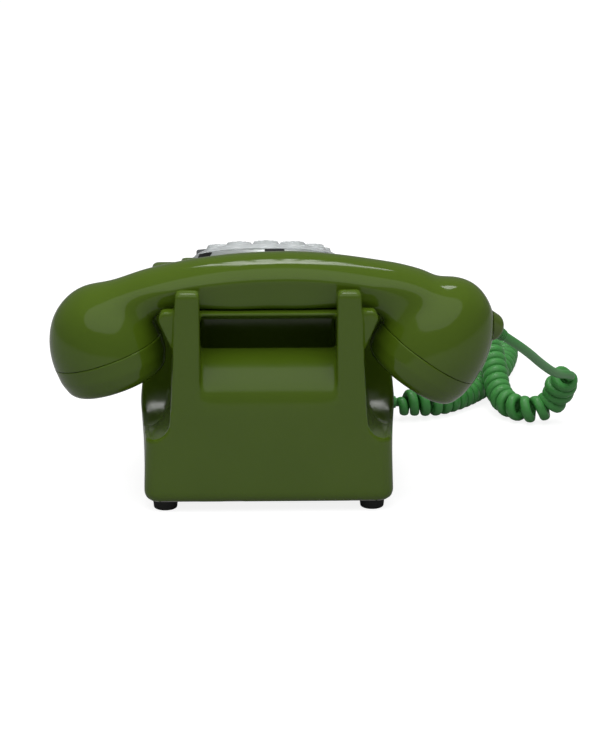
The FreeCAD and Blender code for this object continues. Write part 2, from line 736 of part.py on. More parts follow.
def cord_boss(shell):
    """The rounded boss that the cord leaves the handset by."""
    axis = lead_direction()
    length = (at(*BOSS_TO) - at(*BOSS_AT)).Length
    boss = turned([(0, 0, 0), (BOSS_R, 0, 0), (BOSS_R, length, 4.5), (0, length, 0)], at(*BOSS_AT), axis)
    boss = boss.cut(shell)
    return max(boss.Solids, key=lambda s: (s.CenterOfMass - at(*BOSS_AT)).dot(axis))


def strain_relief():
    """A tapered rubber sleeve with grooves, round the cord at the boss."""
    taper = (RELIEF_R - RELIEF_TIP_R) / RELIEF_LENGTH
    profile = [(0, 0, 0), (RELIEF_R, 0, 0)]
    for i in range(RELIEF_GROOVES):
        low = 1.6 + i * 1.6
        wide, narrow = RELIEF_R - taper * low, RELIEF_TIP_R - 0.3
        profile += [(wide, low, 0), (narrow, low, 0), (narrow, low + 0.7, 0),
                    (wide - taper * 0.7, low + 0.7, 0)]
    profile += [(RELIEF_TIP_R, RELIEF_LENGTH, 0), (0, RELIEF_LENGTH, 0)]
    return turned(profile, at(*BOSS_TO), lead_direction())


def smooth_step(share):
    share = min(max(share, 0.0), 1.0)
    return share * share * (3 - 2 * share)


def coil_frames():
    """Stations along the coil's axis: turns so far, centre, two side directions and radius."""
    curve = Part.BSplineCurve()
    curve.interpolate([at(*p) for p in COIL_AXIS])
    axis = curve.toShape()
    points = axis.discretize(int(axis.Length) * 2)
    step = axis.Length / (len(points) - 1)
    headings = [(points[min(i + 1, len(points) - 1)] - points[max(i - 1, 0)]).normalize()
                for i in range(len(points))]
    frames, turns, side = [], 0.0, UP
    for i, (p, ahead) in enumerate(zip(points, headings)):
        here, left = i * step, axis.Length - i * step
        side = (side - ahead * side.dot(ahead)).normalize()
        loose = smooth_step(1 - abs(left - LOOSE_AT) / LOOSE_SPAN)
        ease = smooth_step(here / COIL_EASE) * smooth_step(left / COIL_END_EASE)
        radius = (COIL_R + (COIL_TOP_R - COIL_R) * loose) * ease
        reach = headings[max(i - 6, 0)].getAngle(headings[min(i + 6, len(points) - 1)])
        span = step * (min(i + 6, len(points) - 1) - max(i - 6, 0))
        pitch = COIL_PITCH / max(1 - (radius + BEND_SPARE) * reach / span, 0.3)
        pitch += (EASE_PITCH - COIL_PITCH) * (1 - ease)
        frames.append([turns, p, side, ahead.cross(side), radius])
        turns += step / pitch
    whole = round(frames[-1][0])
    for frame in frames:
        frame[0] *= whole / frames[-1][0]
    return frames, whole, axis.Length


def coil_point(frames, t):
    """A point of the curls at turn t, counted from the case end."""
    i = min(bisect.bisect_right(frames, t, key=lambda f: f[0]), len(frames) - 1) - 1
    (t0, p, a, b, r), (t1, q, c, d, w) = frames[i], frames[i + 1]
    share = (t - t0) / (t1 - t0)
    centre, u, v = p + (q - p) * share, a + (c - a) * share, b + (d - b) * share
    radius, angle = r + (w - r) * share, 2 * math.pi * t
    return centre + u * (radius * math.cos(angle)) + v * (radius * math.sin(angle))


def biarc(p0, t0, p1, t1):
    """Two tangent arcs from p0 along t0 to p1 along t1."""
    v, t = p1 - p0, t0 + t1
    k = 2 * (1 - t0.dot(t1))
    vt = v.dot(t)
    d = (-vt + math.sqrt(vt * vt + k * v.dot(v))) / k if k > 1e-9 else v.dot(v) / (4 * v.dot(t1))
    joint = (p0 + p1 + (t0 - t1) * d) * 0.5
    return [tangent_arc(p0, t0, joint), tangent_arc(p1, t1 * -1, joint, True)]


def tangent_arc(start, direction, end, flip=False):
    chord = end - start
    across = direction - chord * (direction.dot(chord) / chord.dot(chord))
    half = chord.Length / 2
    turn = direction.getAngle(chord)
    middle = start + chord * 0.5
    if across.Length > 1e-9:
        middle = middle + across.normalize() * (half * math.tan(turn / 2))
    ends = (end, middle, start) if flip else (start, middle, end)
    return Part.Arc(*ends).toShape()


def curl_path():
    """The wire of the curls, with a straight run at each end, and its two ends."""
    frames, turns, length = coil_frames()

    def point(t):
        return coil_point(frames, min(max(t, 0.0), turns))

    def heading(t):
        e = 0.01
        return (point(t + e) - point(t - e)).normalize()

    stops = [i / 2 for i in range(2 * turns + 1)]
    arcs = []
    for a, b in zip(stops, stops[1:]):
        arcs += biarc(point(a), heading(a), point(b), heading(b))
    start, end = point(0.0), point(turns)
    tail = start - heading(0.0) * (2 * CORD_R)
    nose = end + heading(turns) * (2 * CORD_R)
    edges = [Part.LineSegment(tail, start).toShape(), *arcs, Part.LineSegment(end, nose).toShape()]
    least, place = least_gap([point(i / DOTS) for i in range(DOTS * turns + 1)])
    wire_length = sum(e.Length for e in edges)
    print(f"curls {turns}, axis {length:.1f}, wire {wire_length:.0f}")
    print(f"least gap between turns {least:.2f}, at turn {place:.1f}")
    return Part.Wire(edges), tail, heading(0.0), nose, heading(turns)


def least_gap(dots):
    """The least space between two turns of the tube, measured on points, and where."""
    least, place = 99.0, 0
    near = 6 * CORD_R
    for i, p in enumerate(dots):
        for j in range(i + DOTS // 2, len(dots)):
            q = dots[j]
            if abs(p.x - q.x) < near and abs(p.y - q.y) < near:
                far = (p - q).Length
                if far < least:
                    least, place = far, i / DOTS
    return least - 2 * CORD_R, place


def tube(path, start, direction, radius):
    """A round tube along a wire."""
    ring = Part.Wire([Part.Circle(start, direction, radius).toShape()])
    pipe = Part.BRepOffsetAPI.MakePipeShell(path)
    pipe.add(ring)
    pipe.build()
    pipe.makeSolid()
    return pipe.shape()


def bent_path(points):
    """Straight runs joined by tangent arcs as large as the runs allow, with the radii."""
    edges, radii = [], []
    here = points[0]
    for before, corner, after in zip(points, points[1:], points[2:]):
        back, on = before - corner, after - corner
        turn = math.pi - back.getAngle(on)
        radius = 0.45 * min(back.Length, on.Length) / math.tan(turn / 2)
        cut = radius * math.tan(turn / 2)
        a = corner + back.normalize() * cut
        b = corner + on.normalize() * cut
        edges += [Part.LineSegment(here, a).toShape(), tangent_arc(a, (corner - a).normalize(), b)]
        radii.append(radius)
        here = b
    edges.append(Part.LineSegment(here, points[-1]).toShape())
    return Part.Wire(edges), radii


def cord_lead(nose, heading):
    """The lead from the strain relief down to the coil's last curl."""
    start = at(*BOSS_TO) + lead_direction() * RELIEF_LENGTH
    points = [start, start + lead_direction() * LEAD_START, *[at(*p) for p in LEAD_ROUTE],
              nose + heading * LEAD_END, nose]
    path, radii = bent_path(points)
    print("lead radii " + " ".join(f"{r:.0f}" for r in radii) + f", length {path.Length:.0f}")
    return tube(path, start, lead_direction(), CORD_R)


def cord_hole():
    return rod(at(-PLUG_INNER_X + WALL, PLUG_D, PLUG_Z), at(-PAST_SIDE_X, PLUG_D, PLUG_Z), PLUG_NECK_R)


def cord_plug(tail):
    """The rubber grommet in the case's flank, just short of the cord's slanting end."""
    collar_at = at(-PLUG_COLLAR_X, PLUG_D, PLUG_Z)
    inside = rod(at(-PLUG_INNER_X, PLUG_D, PLUG_Z), collar_at, PLUG_NECK_R - FACE_GAP)
    length = collar_at.x - tail.x - PLUG_TIP_GAP
    outside = Part.makeCone(PLUG_R, CORD_R + 0.7, length, collar_at, SIDE * -1)
    return inside.fuse(outside).removeSplitter()


# Dial

def wheel_hole_angles():
    return [FIRST_HOLE + HOLE_STEP * i for i in range(HOLES)]


def finger_wheel():
    profile = [(WHEEL_BORE, WHEEL_LOW_H, 0), (WHEEL_FLAT_R - 0.6, WHEEL_LOW_H, 1),
               (WHEEL_R - 1.0, BEZEL_TOP_H + 0.4, 0.2), (WHEEL_R, BEZEL_TOP_H + 0.4, 0.2),
               (WHEEL_R, BEZEL_TOP_H + 1.3, 0.6), (WHEEL_FLAT_R, WHEEL_TOP_H, 3),
               (WHEEL_BORE, WHEEL_TOP_H, 0)]
    disc = turned(profile)
    rim = turned([(HOLE_R - 0.8, WHEEL_LOW_H + 0.2, 0), (RIM_R, WHEEL_LOW_H + 0.2, 0),
                  (RIM_R, WHEEL_TOP_H, 0), (RIM_R - 0.9, WHEEL_TOP_H + RIM_H, 0.7),
                  (HOLE_R - 0.8, WHEEL_TOP_H + RIM_H, 0)])
    mouth = WHEEL_TOP_H + RIM_H
    hole = turned([(0, WHEEL_LOW_H - 3, 0), (HOLE_R, WHEEL_LOW_H - 3, 0), (HOLE_R, mouth - 0.6, 0),
                   (HOLE_R + 0.8, mouth + 0.2, 0), (0, mouth + 0.2, 0)])
    for shape in (rim, hole):
        shape.translate(Vector(HOLE_ORBIT, 0, 0))
    for copy in around(rim, wheel_hole_angles()):
        disc = disc.fuse(copy)
    for copy in around(hole, wheel_hole_angles()):
        disc = disc.cut(copy)
    return dial_place(disc.removeSplitter())


def centre_disc():
    return dial_place(turned([(0, WHEEL_TOP_H + 0.1, 0), (CENTRE_R - 0.1, WHEEL_TOP_H + 0.1, 0),
                              (CENTRE_R - 0.1, WHEEL_TOP_H + 0.9, 0), (0, WHEEL_TOP_H + 0.9, 0)]))


def centre_ring():
    return dial_place(turned([(CENTRE_R, WHEEL_TOP_H + 0.1, 0), (CENTRE_RING_R, WHEEL_TOP_H + 0.1, 0),
                              (CENTRE_RING_R - 0.8, WHEEL_TOP_H + 1.7, 0.6),
                              (CENTRE_R - 0.9, WHEEL_TOP_H + 1.7, 0.4),
                              (CENTRE_R - 0.9, WHEEL_TOP_H + 1.0, 0), (CENTRE_R, WHEEL_TOP_H + 1.0, 0)]))


def dial_frame():
    """The dial's front plate with its riser, on the ledge of the case's well."""
    top = LEDGE_H + FRAME_THICK
    plate = turned([(SHAFT_R + RUNNING, LEDGE_H, 0), (FRAME_R, LEDGE_H, 0), (FRAME_R, top, 0),
                    (RISER_R, top, 0), (RISER_R, PLATE_H, 0), (RISER_R - 2.5, PLATE_H, 0),
                    (RISER_R - 2.5, top, 0), (SHAFT_R + RUNNING, top, 0)])
    low = REAR_PLATE_H + REAR_PLATE_THICK
    pillar = Part.makeCylinder(2.2, LEDGE_H - low, Vector(REAR_PLATE_R - 3, 0, low))
    frame = fuse([plate, *around(pillar, PILLAR_ANGLES)])
    for copy in around(frame_screw_hole(), FRAME_SCREWS):
        frame = frame.cut(copy)
    x, y = governor_centre()
    frame = frame.cut(Part.makeCylinder(GOVERNOR_SHAFT_R + RUNNING, 30, Vector(x, y, -10)))
    return dial_place(frame)


def frame_screw_hole():
    return Part.makeCylinder(FRAME_SCREW_R + RUNNING, 12, Vector(FRAME_SCREW_ORBIT, 0, LEDGE_H - 2))


def dial_screws():
    head_h = LEDGE_H + FRAME_THICK
    screw = Part.makeCylinder(FRAME_SCREW_HEAD_R, FRAME_SCREW_HEAD, Vector(FRAME_SCREW_ORBIT, 0, head_h))
    shank = Part.makeCylinder(FRAME_SCREW_R, FRAME_THICK, Vector(FRAME_SCREW_ORBIT, 0, LEDGE_H))
    return [dial_place(s) for s in around(screw.fuse(shank), FRAME_SCREWS)]


def rear_plate():
    top = REAR_PLATE_H + REAR_PLATE_THICK
    plate = turned([(SHAFT_R + RUNNING, REAR_PLATE_H, 0), (REAR_PLATE_R, REAR_PLATE_H, 0),
                    (REAR_PLATE_R, top, 0), (SHAFT_R + RUNNING, top, 0)])
    x, y = governor_centre()
    hole = Part.makeCylinder(GOVERNOR_SHAFT_R + RUNNING, 9, Vector(x, y, REAR_PLATE_H - 3))
    return dial_place(plate.cut(hole))


def dial_plate():
    return dial_place(turned([(SHAFT_R + 0.5, PLATE_H, 0), (DIAL_PLATE_R, PLATE_H, 0),
                              (DIAL_PLATE_R, PLATE_H + DIAL_PLATE_THICK, 0),
                              (SHAFT_R + 0.5, PLATE_H + DIAL_PLATE_THICK, 0)]))


def dial_bezel():
    """The silver ring that covers the well, the screws and the plate's edge."""
    plate_top = PLATE_H + DIAL_PLATE_THICK
    over_screws = COLLAR_H + FRAME_SCREW_HEAD + 0.6
    inner, lip = DIAL_PLATE_R + 0.2, DIAL_PLATE_R - 1.4
    return dial_place(turned([(WELL_R + 0.1, COLLAR_H, 0), (BEZEL_LOW_R, COLLAR_H, 0.3),
                              (BEZEL_LOW_R - 0.4, COLLAR_H + 2.0, 1.2),
                              (BEZEL_TOP_R, BEZEL_TOP_H, 0.5), (lip, BEZEL_TOP_H, 0.2),
                              (lip, plate_top, 0), (inner, plate_top, 0), (inner, over_screws, 0),
                              (WELL_R + 0.1, over_screws, 0)]))


def bezel_clips():
    """Four black clips let into the bezel's sloping skirt."""
    low, high = COLLAR_H + 0.9, BEZEL_TOP_H + 0.1
    inner = BEZEL_TOP_R - 0.2
    clip = Part.makeBox(CLIP_DEPTH, 2 * CLIP_HALF, high - low, Vector(inner, -CLIP_HALF, low))
    skirt = turned([(inner, low, 0), (BEZEL_LOW_R + 0.5, low, 0), (BEZEL_TOP_R + 0.9, high, 0),
                    (inner, high, 0)])
    bezel = dial_bezel()
    return [dial_place(c).cut(bezel) for c in around(clip.common(skirt), CLIP_ANGLES)]


def finger_stop():
    """The hooked stop, from the bezel over the wheel's rims."""
    top = WHEEL_TOP_H + RIM_H + 0.6
    profile = [(20.0, top, 0), (BEZEL_LOW_R - 0.8, top, 0), (BEZEL_LOW_R - 0.8, COLLAR_H, 0),
               (BEZEL_LOW_R + 1.0, COLLAR_H, 0), (BEZEL_LOW_R + 1.0, top + 1.3, 1.2), (20.0, top + 1.3, 0.5)]
    wire = rounded_wire(profile, lambda p: Vector(p.x, -2.0, p.y))
    hook = Part.Face(wire).extrude(Vector(0, 4.0, 0))
    hook = around(hook, [STOP_ANGLE])[0]
    return dial_place(hook).cut(dial_bezel())


def governor_centre():
    reach = GEAR_MODULE * (MAIN_TEETH + PINION_TEETH) / 2 + 0.1
    angle = math.radians(GOVERNOR_ANGLE)
    return reach * math.cos(angle), reach * math.sin(angle)


def gear(teeth, bore, phase, centre=(0.0, 0.0)):
    """A spur gear with straight-sided teeth, cut thin enough to run freely."""
    root = GEAR_MODULE * (teeth / 2 - 1.1)
    tip = GEAR_MODULE * (teeth / 2 + 0.75)
    step = 2 * math.pi / teeth
    points = []
    for i in range(teeth):
        middle = i * step + math.radians(phase)
        for radius, share in ((root, -0.30), (tip, -0.13), (tip, 0.13), (root, 0.30)):
            angle = middle + share * step
            points.append(Vector(centre[0] + radius * math.cos(angle),
                                 centre[1] + radius * math.sin(angle), GEAR_H))
    wheel = Part.Face(Part.makePolygon(points + points[:1])).extrude(UP * GEAR_THICK)
    return wheel.cut(Part.makeCylinder(bore, 10, Vector(centre[0], centre[1], GEAR_H - 4)))


def wheel_shaft():
    """The spindle that carries the wheel on top and the gear and cam below."""
    top = WHEEL_LOW_H
    flange = DIAL_PLATE_THICK + PLATE_H + 0.9
    spindle = [(0, REAR_PLATE_H - 2, 0), (SHAFT_R, REAR_PLATE_H - 2, 0.5), (SHAFT_R, flange, 0),
               (8, flange, 0), (8, top, 0), (WHEEL_BORE - 0.1, top, 0),
               (WHEEL_BORE - 0.1, WHEEL_TOP_H, 0), (0, WHEEL_TOP_H, 0)]
    return dial_place(turned(spindle))


def main_gear():
    return dial_place(gear(MAIN_TEETH, SHAFT_R + 0.02, 0))


def governor_shaft():
    """The pinion, its shaft and the governor's cross arm in one piece."""
    x, y = governor_centre()
    facing = GOVERNOR_ANGLE - 180 + 180.0 / PINION_TEETH
    pinion = gear(PINION_TEETH, GOVERNOR_SHAFT_R - 0.2, facing, (x, y))
    low, high = REAR_PLATE_H - GOVERNOR_DEPTH, LEDGE_H + FRAME_THICK - 0.1
    shaft = Part.makeCylinder(GOVERNOR_SHAFT_R, high - low, Vector(x, y, low))
    arm = Part.makeBox(2 * WEIGHT_REACH - 1.2, 2.4, ARM_THICK,
                       Vector(x - WEIGHT_REACH + 0.6, y - 1.2, REAR_PLATE_H - ARM_DROP))
    return dial_place(fuse([pinion, shaft, arm]))


def governor_weights():
    x, y = governor_centre()
    weights = []
    for side in (-1, 1):
        weight = Part.makeCylinder(WEIGHT_R, 3.0, Vector(x + side * WEIGHT_REACH, y,
                                                         REAR_PLATE_H - ARM_DROP + ARM_THICK))
        weights.append(dial_place(weight))
    return weights


def governor_cup():
    x, y = governor_centre()
    low, high = REAR_PLATE_H - GOVERNOR_DEPTH + 2, REAR_PLATE_H
    inner = WEIGHT_REACH + WEIGHT_R + 1.0
    cup = turned([(inner, low, 0), (inner + 1.2, low, 0), (inner + 1.2, high, 0), (inner, high, 0)],
                 Vector(x, y, 0))
    return dial_place(cup)


def main_spring():
    """The flat return spring, wound round the spindle under the gear."""
    inner = SHAFT_R + 0.4
    return dial_place(turned([(inner, SPRING_LOW_H, 0), (SPRING_R, SPRING_LOW_H, 0),
                              (SPRING_R, SPRING_TOP_H, 0), (inner, SPRING_TOP_H, 0)]))


def spring_barrel():
    """The open barrel that holds the return spring, on the rear plate."""
    low, floor, rim = REAR_PLATE_H + REAR_PLATE_THICK, SPRING_LOW_H - FACE_GAP, SPRING_TOP_H + 0.6
    inner, outer = SPRING_R + 0.4, SPRING_R + 1.6
    return dial_place(turned([(SHAFT_R + 0.5, low, 0), (outer, low, 0), (outer, rim, 0), (inner, rim, 0),
                              (inner, floor, 0), (SHAFT_R + 0.5, floor, 0)]))


def pulse_cam():
    """The lobed cam that opens the pulse contacts once for each digit counted."""
    angles = [math.radians(HOLE_STEP * i) for i in range(HOLES)]
    places = [Vector(CAM_R * math.cos(a), CAM_R * math.sin(a), -CAM_THICK) for a in angles]
    lobes = [Part.makeCylinder(CAM_LOBE_R, CAM_THICK, place) for place in places]
    disc = Part.makeCylinder(CAM_R, CAM_THICK, Vector(0, 0, -CAM_THICK))
    cam = fuse([disc, *lobes])
    return dial_place(cam.cut(Part.makeCylinder(SHAFT_R + 0.02, 6, Vector(0, 0, -4))))


def pulse_contacts():
    """Two leaf springs on a block under the front plate, beside the cam."""
    low = GEAR_H + GEAR_THICK + FACE_GAP
    near = CAM_R + CAM_LOBE_R + 2.1
    base = Part.makeBox(7, 8, 6.5, Vector(near + 3.4, -21, LEDGE_H - 6.5))
    leaves = [Part.makeBox(LEAF, 22, 2.2, Vector(x, -21, low)) for x in (near, near + 2.0)]
    bridge = Part.makeBox(4.2, 6, 2.2, Vector(near - 0.2, -21, low))
    return dial_place(fuse([base, bridge, *leaves]))


# Hook switch

def plungers():
    """Two plungers in the saddle, held down by the handset's grip."""
    flange = PLUNGER_R + PLUNGER_FLANGE
    profile = [(0, PLUNGER_LOW_Z, 0), (flange, PLUNGER_LOW_Z, 0),
               (flange, PLUNGER_LOW_Z + 1.2, 0), (PLUNGER_R, PLUNGER_LOW_Z + 1.2, 0),
               (PLUNGER_R, SADDLE_Z + 0.1, 0.8), (0, SADDLE_Z + 0.1, 0)]
    return [turned(profile, at(x, HANDSET_D, 0)) for x in (-PLUNGER_X, PLUNGER_X)]


def hook_lever():
    """A rocking frame under both plungers, turning on its cross pin."""
    half = HOOK_ARM / 2
    top = PLUNGER_LOW_Z - FACE_GAP
    side = [(HANDSET_D - 2, top - 3.4, 1), (HOOK_D + 1, HOOK_Z - HOOK_EYE_R, 1), (HOOK_D + 1, HOOK_Z, 0),
            (HOOK_D - 6, HOOK_Z + 1.5, 4), (HANDSET_D + 6, top, 2), (HANDSET_D - 2, top, 0.6)]
    arm = side_prism(side, PLUNGER_X - half, PLUNGER_X + half)
    tube_bar = rod(at(-PLUNGER_X - half, HOOK_D, HOOK_Z), at(PLUNGER_X + half, HOOK_D, HOOK_Z), HOOK_EYE_R)
    tab = block(-4, 4, HOOK_D - 1.2, HOOK_D + 11, HOOK_Z + HOOK_EYE_R - 1.6, HOOK_Z + HOOK_EYE_R - 0.4)
    lever = fuse([arm, mirrored(arm), tube_bar, tab])
    return lever.cut(rod(at(-60, HOOK_D, HOOK_Z), at(60, HOOK_D, HOOK_Z), HOOK_PIN_R + RUNNING))


def hook_pin():
    end = HOOK_CHEEK_X + HOOK_CHEEK + 0.3
    return rod(at(-end, HOOK_D, HOOK_Z), at(end, HOOK_D, HOOK_Z), HOOK_PIN_R)


def hook_bracket():
    """The plate under the crest that carries the hook pin's two ears and the contacts."""
    table = block(-HOOK_CHEEK_X - HOOK_CHEEK, HOOK_CHEEK_X + HOOK_CHEEK, HOOK_D - 4, HOOK_BOSS_D + 8,
                  HOOK_TABLE_Z - 1.2, HOOK_TABLE_Z)
    side = [(HOOK_D - 4, HOOK_Z - 3.5, 3), (HOOK_D + 4, HOOK_Z - 3.5, 3), (HOOK_BOSS_D, HOOK_TABLE_Z, 0),
            (HOOK_D - 4, HOOK_TABLE_Z, 0)]
    ear = side_prism(side, HOOK_CHEEK_X, HOOK_CHEEK_X + HOOK_CHEEK)
    ear = ear.cut(rod(at(30, HOOK_D, HOOK_Z), at(60, HOOK_D, HOOK_Z), HOOK_PIN_R))
    return fuse([table, ear, mirrored(ear)])


def hook_spring():
    """The coil of the return spring round the lever's bar."""
    return turned([(HOOK_EYE_R + 0.3, 0, 0), (HOOK_EYE_R + 1.5, 0, 0), (HOOK_EYE_R + 1.5, 12, 0),
                   (HOOK_EYE_R + 0.3, 12, 0)], at(12, HOOK_D, HOOK_Z), SIDE)


def hook_contacts():
    """A stack of contact leaves that the lever's tab works."""
    stack = block(-6, 6, HOOK_D + 12.5, HOOK_D + 18, HOOK_TABLE_Z - 9.2, HOOK_TABLE_Z - 1.2)
    leaves = [block(-3.5, 3.5, HOOK_D + 4, HOOK_D + 13, z, z + 0.4)
              for z in (HOOK_TABLE_Z - 3.6, HOOK_TABLE_Z - 5.6)]
    return fuse([stack, *leaves])


# Bell

def gong(x):
    top = GONG_LOW_Z + GONG_HEIGHT
    w = GONG_WALL
    profile = [(GONG_R - w, GONG_LOW_Z, 0), (GONG_R, GONG_LOW_Z, 0), (GONG_R - 1.2, top - 3, 7), (8, top, 12),
               (GONG_POST_R + 0.1, top, 0), (GONG_POST_R + 0.1, top - w, 0), (8, top - w, 10),
               (GONG_R - 1.2 - w, top - 3 - w, 6)]
    return turned(profile, at(x, GONG_D, 0))


def gong_screws():
    """A post with a shoulder and a domed head for each gong."""
    top = GONG_LOW_Z + GONG_HEIGHT
    deck = DECK_Z + PLATE_THICK
    profile = [(0, deck, 0), (3.6, deck, 0), (3.6, top - GONG_WALL, 0), (GONG_POST_R, top - GONG_WALL, 0),
               (GONG_POST_R, top, 0), (4.2, top, 0), (3.4, top + 2, 0.8), (0, top + 2, 0)]
    return [turned(profile, at(x, GONG_D, 0)) for x in (-GONG_X, GONG_X)]


def bell_bracket():
    """The pressed plate under the gongs, with an upstand behind for the coils."""
    deck = DECK_Z + PLATE_THICK
    plan = [(-GONG_X - 7, GONG_D - 6, 5), (GONG_X + 7, GONG_D - 6, 5), (GONG_X + 7, GONG_D + 10, 5),
            (BOBBIN_R + COIL_AT_X, yoke_d() + 2.4, 0), (-BOBBIN_R - COIL_AT_X, yoke_d() + 2.4, 0),
            (-GONG_X - 7, GONG_D + 10, 5)]
    plate = plan_prism(plan, DECK_Z, deck)
    upstand = block(-COIL_AT_X - 6, COIL_AT_X + 6, yoke_d() + 0.9, yoke_d() + 2.4, DECK_Z, BELL_Z + 8)
    pedestal = upright(0, ARMATURE_D, DECK_Z, BELL_Z - 4.2, 3.0)
    return fuse([plate, upstand, pedestal])


def pole_d():
    return ARMATURE_D + 1.2 + POLE_GAP


def yoke_d():
    return pole_d() + BOBBIN_LENGTH + 3.0


def bell_core():
    """Two iron poles joined by a yoke bar, on the bracket's upstand."""
    poles = [rod(at(x, pole_d(), BELL_Z), at(x, yoke_d(), BELL_Z), CORE_R) for x in (-COIL_AT_X, COIL_AT_X)]
    yoke = block(-COIL_AT_X - 6, COIL_AT_X + 6, yoke_d() - 2.0, yoke_d() + 0.9, BELL_Z - 5, BELL_Z + 5)
    return fuse([*poles, yoke])


def bell_coils():
    """A flanged bobbin full of wire on each pole."""
    length, wire_r = BOBBIN_LENGTH, BOBBIN_R - 1
    bore = CORE_R + 0.2
    profile = [(bore, 0, 0), (BOBBIN_R, 0, 0), (BOBBIN_R, 1, 0), (wire_r, 1, 0), (wire_r, length - 1, 0),
               (BOBBIN_R, length - 1, 0), (BOBBIN_R, length, 0), (bore, length, 0)]
    front_d = pole_d() + 0.8 + length
    return [turned(profile, at(x, front_d, BELL_Z), REAR_AXIS) for x in (-COIL_AT_X, COIL_AT_X)]


def clapper():
    """The rocking armature with its rod and ball, between the gongs."""
    bar = block(-COIL_AT_X - 4, COIL_AT_X + 4, ARMATURE_D - 1.2, ARMATURE_D + 1.2, BELL_Z - 4, BELL_Z + 4)
    hub = upright(0, ARMATURE_D, BELL_Z - 4, BELL_Z + 4, 2.8)
    ball = Part.makeSphere(CLAPPER_BALL_R, at(0, GONG_D, BELL_Z))
    arm = rod(at(0, ARMATURE_D, BELL_Z), at(0, GONG_D, BELL_Z), 0.8)
    return fuse([bar, hub, arm, ball]).cut(upright(0, ARMATURE_D, BELL_Z - 6, BELL_Z + 6, 1.2 + RUNNING))


def clapper_pin():
    shank = upright(0, ARMATURE_D, BELL_Z - 4.2, BELL_Z + 4.6, 1.2)
    head = upright(0, ARMATURE_D, BELL_Z + 4.6, BELL_Z + 5.4, 2.2)
    return shank.fuse(head)


# Board

def board_points():
    places = (BOARD_REAR_D + BOARD_SCREW_EDGE, BOARD_FRONT_D - BOARD_SCREW_EDGE - 2)
    return [(side * (BOARD_HALF - 5), ahead) for ahead in places for side in (-1, 1)]


def circuit_board():
    top = BOARD_Z + BOARD_THICK
    board = block(-BOARD_HALF, BOARD_HALF, BOARD_REAR_D, BOARD_FRONT_D, BOARD_Z, top)
    for x, ahead in board_points():
        board = board.cut(upright(x, ahead, BOARD_Z - 1, top + 1, BOARD_SCREW_R + RUNNING))
    for x, ahead in PILLARS:
        board = board.cut(upright(x, ahead, BOARD_Z - 1, top + 1, PILLAR_R + 1.5))
    return board


def board_pillars():
    """A post, stud and head at each of the board's corners."""
    top = BOARD_Z + BOARD_THICK
    pillars = []
    for x, ahead in board_points():
        post = upright(x, ahead, DECK_Z, BOARD_Z, BOARD_SCREW_R + 1.35)
        stud = upright(x, ahead, BOARD_Z, top, BOARD_SCREW_R)
        head = upright(x, ahead, top, top + 1.4, BOARD_SCREW_R + 1.15)
        pillars.append(fuse([post, stud, head]))
    return pillars


def capacitor():
    """A can lying on a foot, near the board's rear edge."""
    top = BOARD_Z + BOARD_THICK
    ahead = BOARD_REAR_D + CAPACITOR_EDGE
    profile = [(0, 0, 0), (CAPACITOR_R, 0, 1), (CAPACITOR_R, CAPACITOR_LENGTH, 1), (0, CAPACITOR_LENGTH, 0)]
    can = turned(profile, at(CAPACITOR_X, ahead, top + CAPACITOR_R + 0.1), SIDE * -1)
    foot = block(CAPACITOR_X - CAPACITOR_LENGTH, CAPACITOR_X, ahead - 5, ahead + 5, top, top + 3)
    return can.fuse(foot)


def induction_coil():
    """A laminated core with a wound bobbin, on the board."""
    low = BOARD_Z + BOARD_THICK
    high = low + INDUCTOR_HEIGHT
    rear = BOARD_FRONT_D - INDUCTOR_BACK
    front = rear + INDUCTOR_DEPTH
    left, right = INDUCTOR_X - INDUCTOR_HALF, INDUCTOR_X + INDUCTOR_HALF
    iron = INDUCTOR_IRON
    frame = block(left, right, rear, front, low, high)
    frame = frame.cut(block(left + iron, right - iron, rear - 1, front + 1, low + iron, high - iron))
    leg = block(INDUCTOR_X - 2, INDUCTOR_X + 2, rear, front, low + iron - 1, high - iron + 1)
    winding = block(left + iron + 0.4, right - iron - 0.4, rear + 2, front - 2, low + iron + 0.4,
                    high - iron - 0.4)
    return fuse([frame, leg, winding])


def terminal_strip():
    """A moulded bar with two rows of four screws, on the board."""
    low = BOARD_Z + BOARD_THICK
    top = low + STRIP_HEIGHT
    rear = BOARD_FRONT_D - STRIP_BACK
    bed = block(STRIP_X, STRIP_X + STRIP_WIDTH, rear, rear + STRIP_LENGTH, low, top)
    screws = [upright(x, rear + 5 + STRIP_STEP * i, top, top + 1.6, 2.0)
              for x in (STRIP_X + 6, STRIP_X + STRIP_WIDTH - 6) for i in range(4)]
    return fuse([bed, *screws])


def socket_hole():
    across, high = SOCKET_HALF + SOCKET_GAP, SOCKET_HALF_Z + SOCKET_GAP
    return block(SOCKET_DEEP_X, PAST_SIDE_X, SOCKET_D - across, SOCKET_D + across, SOCKET_Z - high,
                 SOCKET_Z + high)


def line_socket():
    """The line inlet: a small socket in the +X flank, standing on the base plate."""
    side = SOCKET_HALF + 2
    body = block(SOCKET_DEEP_X, SOCKET_X, SOCKET_D - side, SOCKET_D + side, DECK_Z, SOCKET_Z + side - 0.5)
    neck = block(SOCKET_X - 1.5, SOCKET_NOSE_X, SOCKET_D - SOCKET_HALF, SOCKET_D + SOCKET_HALF,
                 SOCKET_Z - SOCKET_HALF_Z, SOCKET_Z + SOCKET_HALF_Z)
    inner = SOCKET_DEEP_X + 3
    across, high = SOCKET_HALF - SOCKET_WALL, SOCKET_HALF_Z - SOCKET_WALL - 0.2
    mouth = block(inner, PAST_SIDE_X, SOCKET_D - across, SOCKET_D + across, SOCKET_Z - high, SOCKET_Z + high)
    latch = block(inner, PAST_SIDE_X, SOCKET_D - 2, SOCKET_D + 2, SOCKET_Z - SOCKET_HALF_Z + SOCKET_GAP,
                  SOCKET_Z)
    return body.fuse(neck).cut(mouth).cut(latch).removeSplitter()


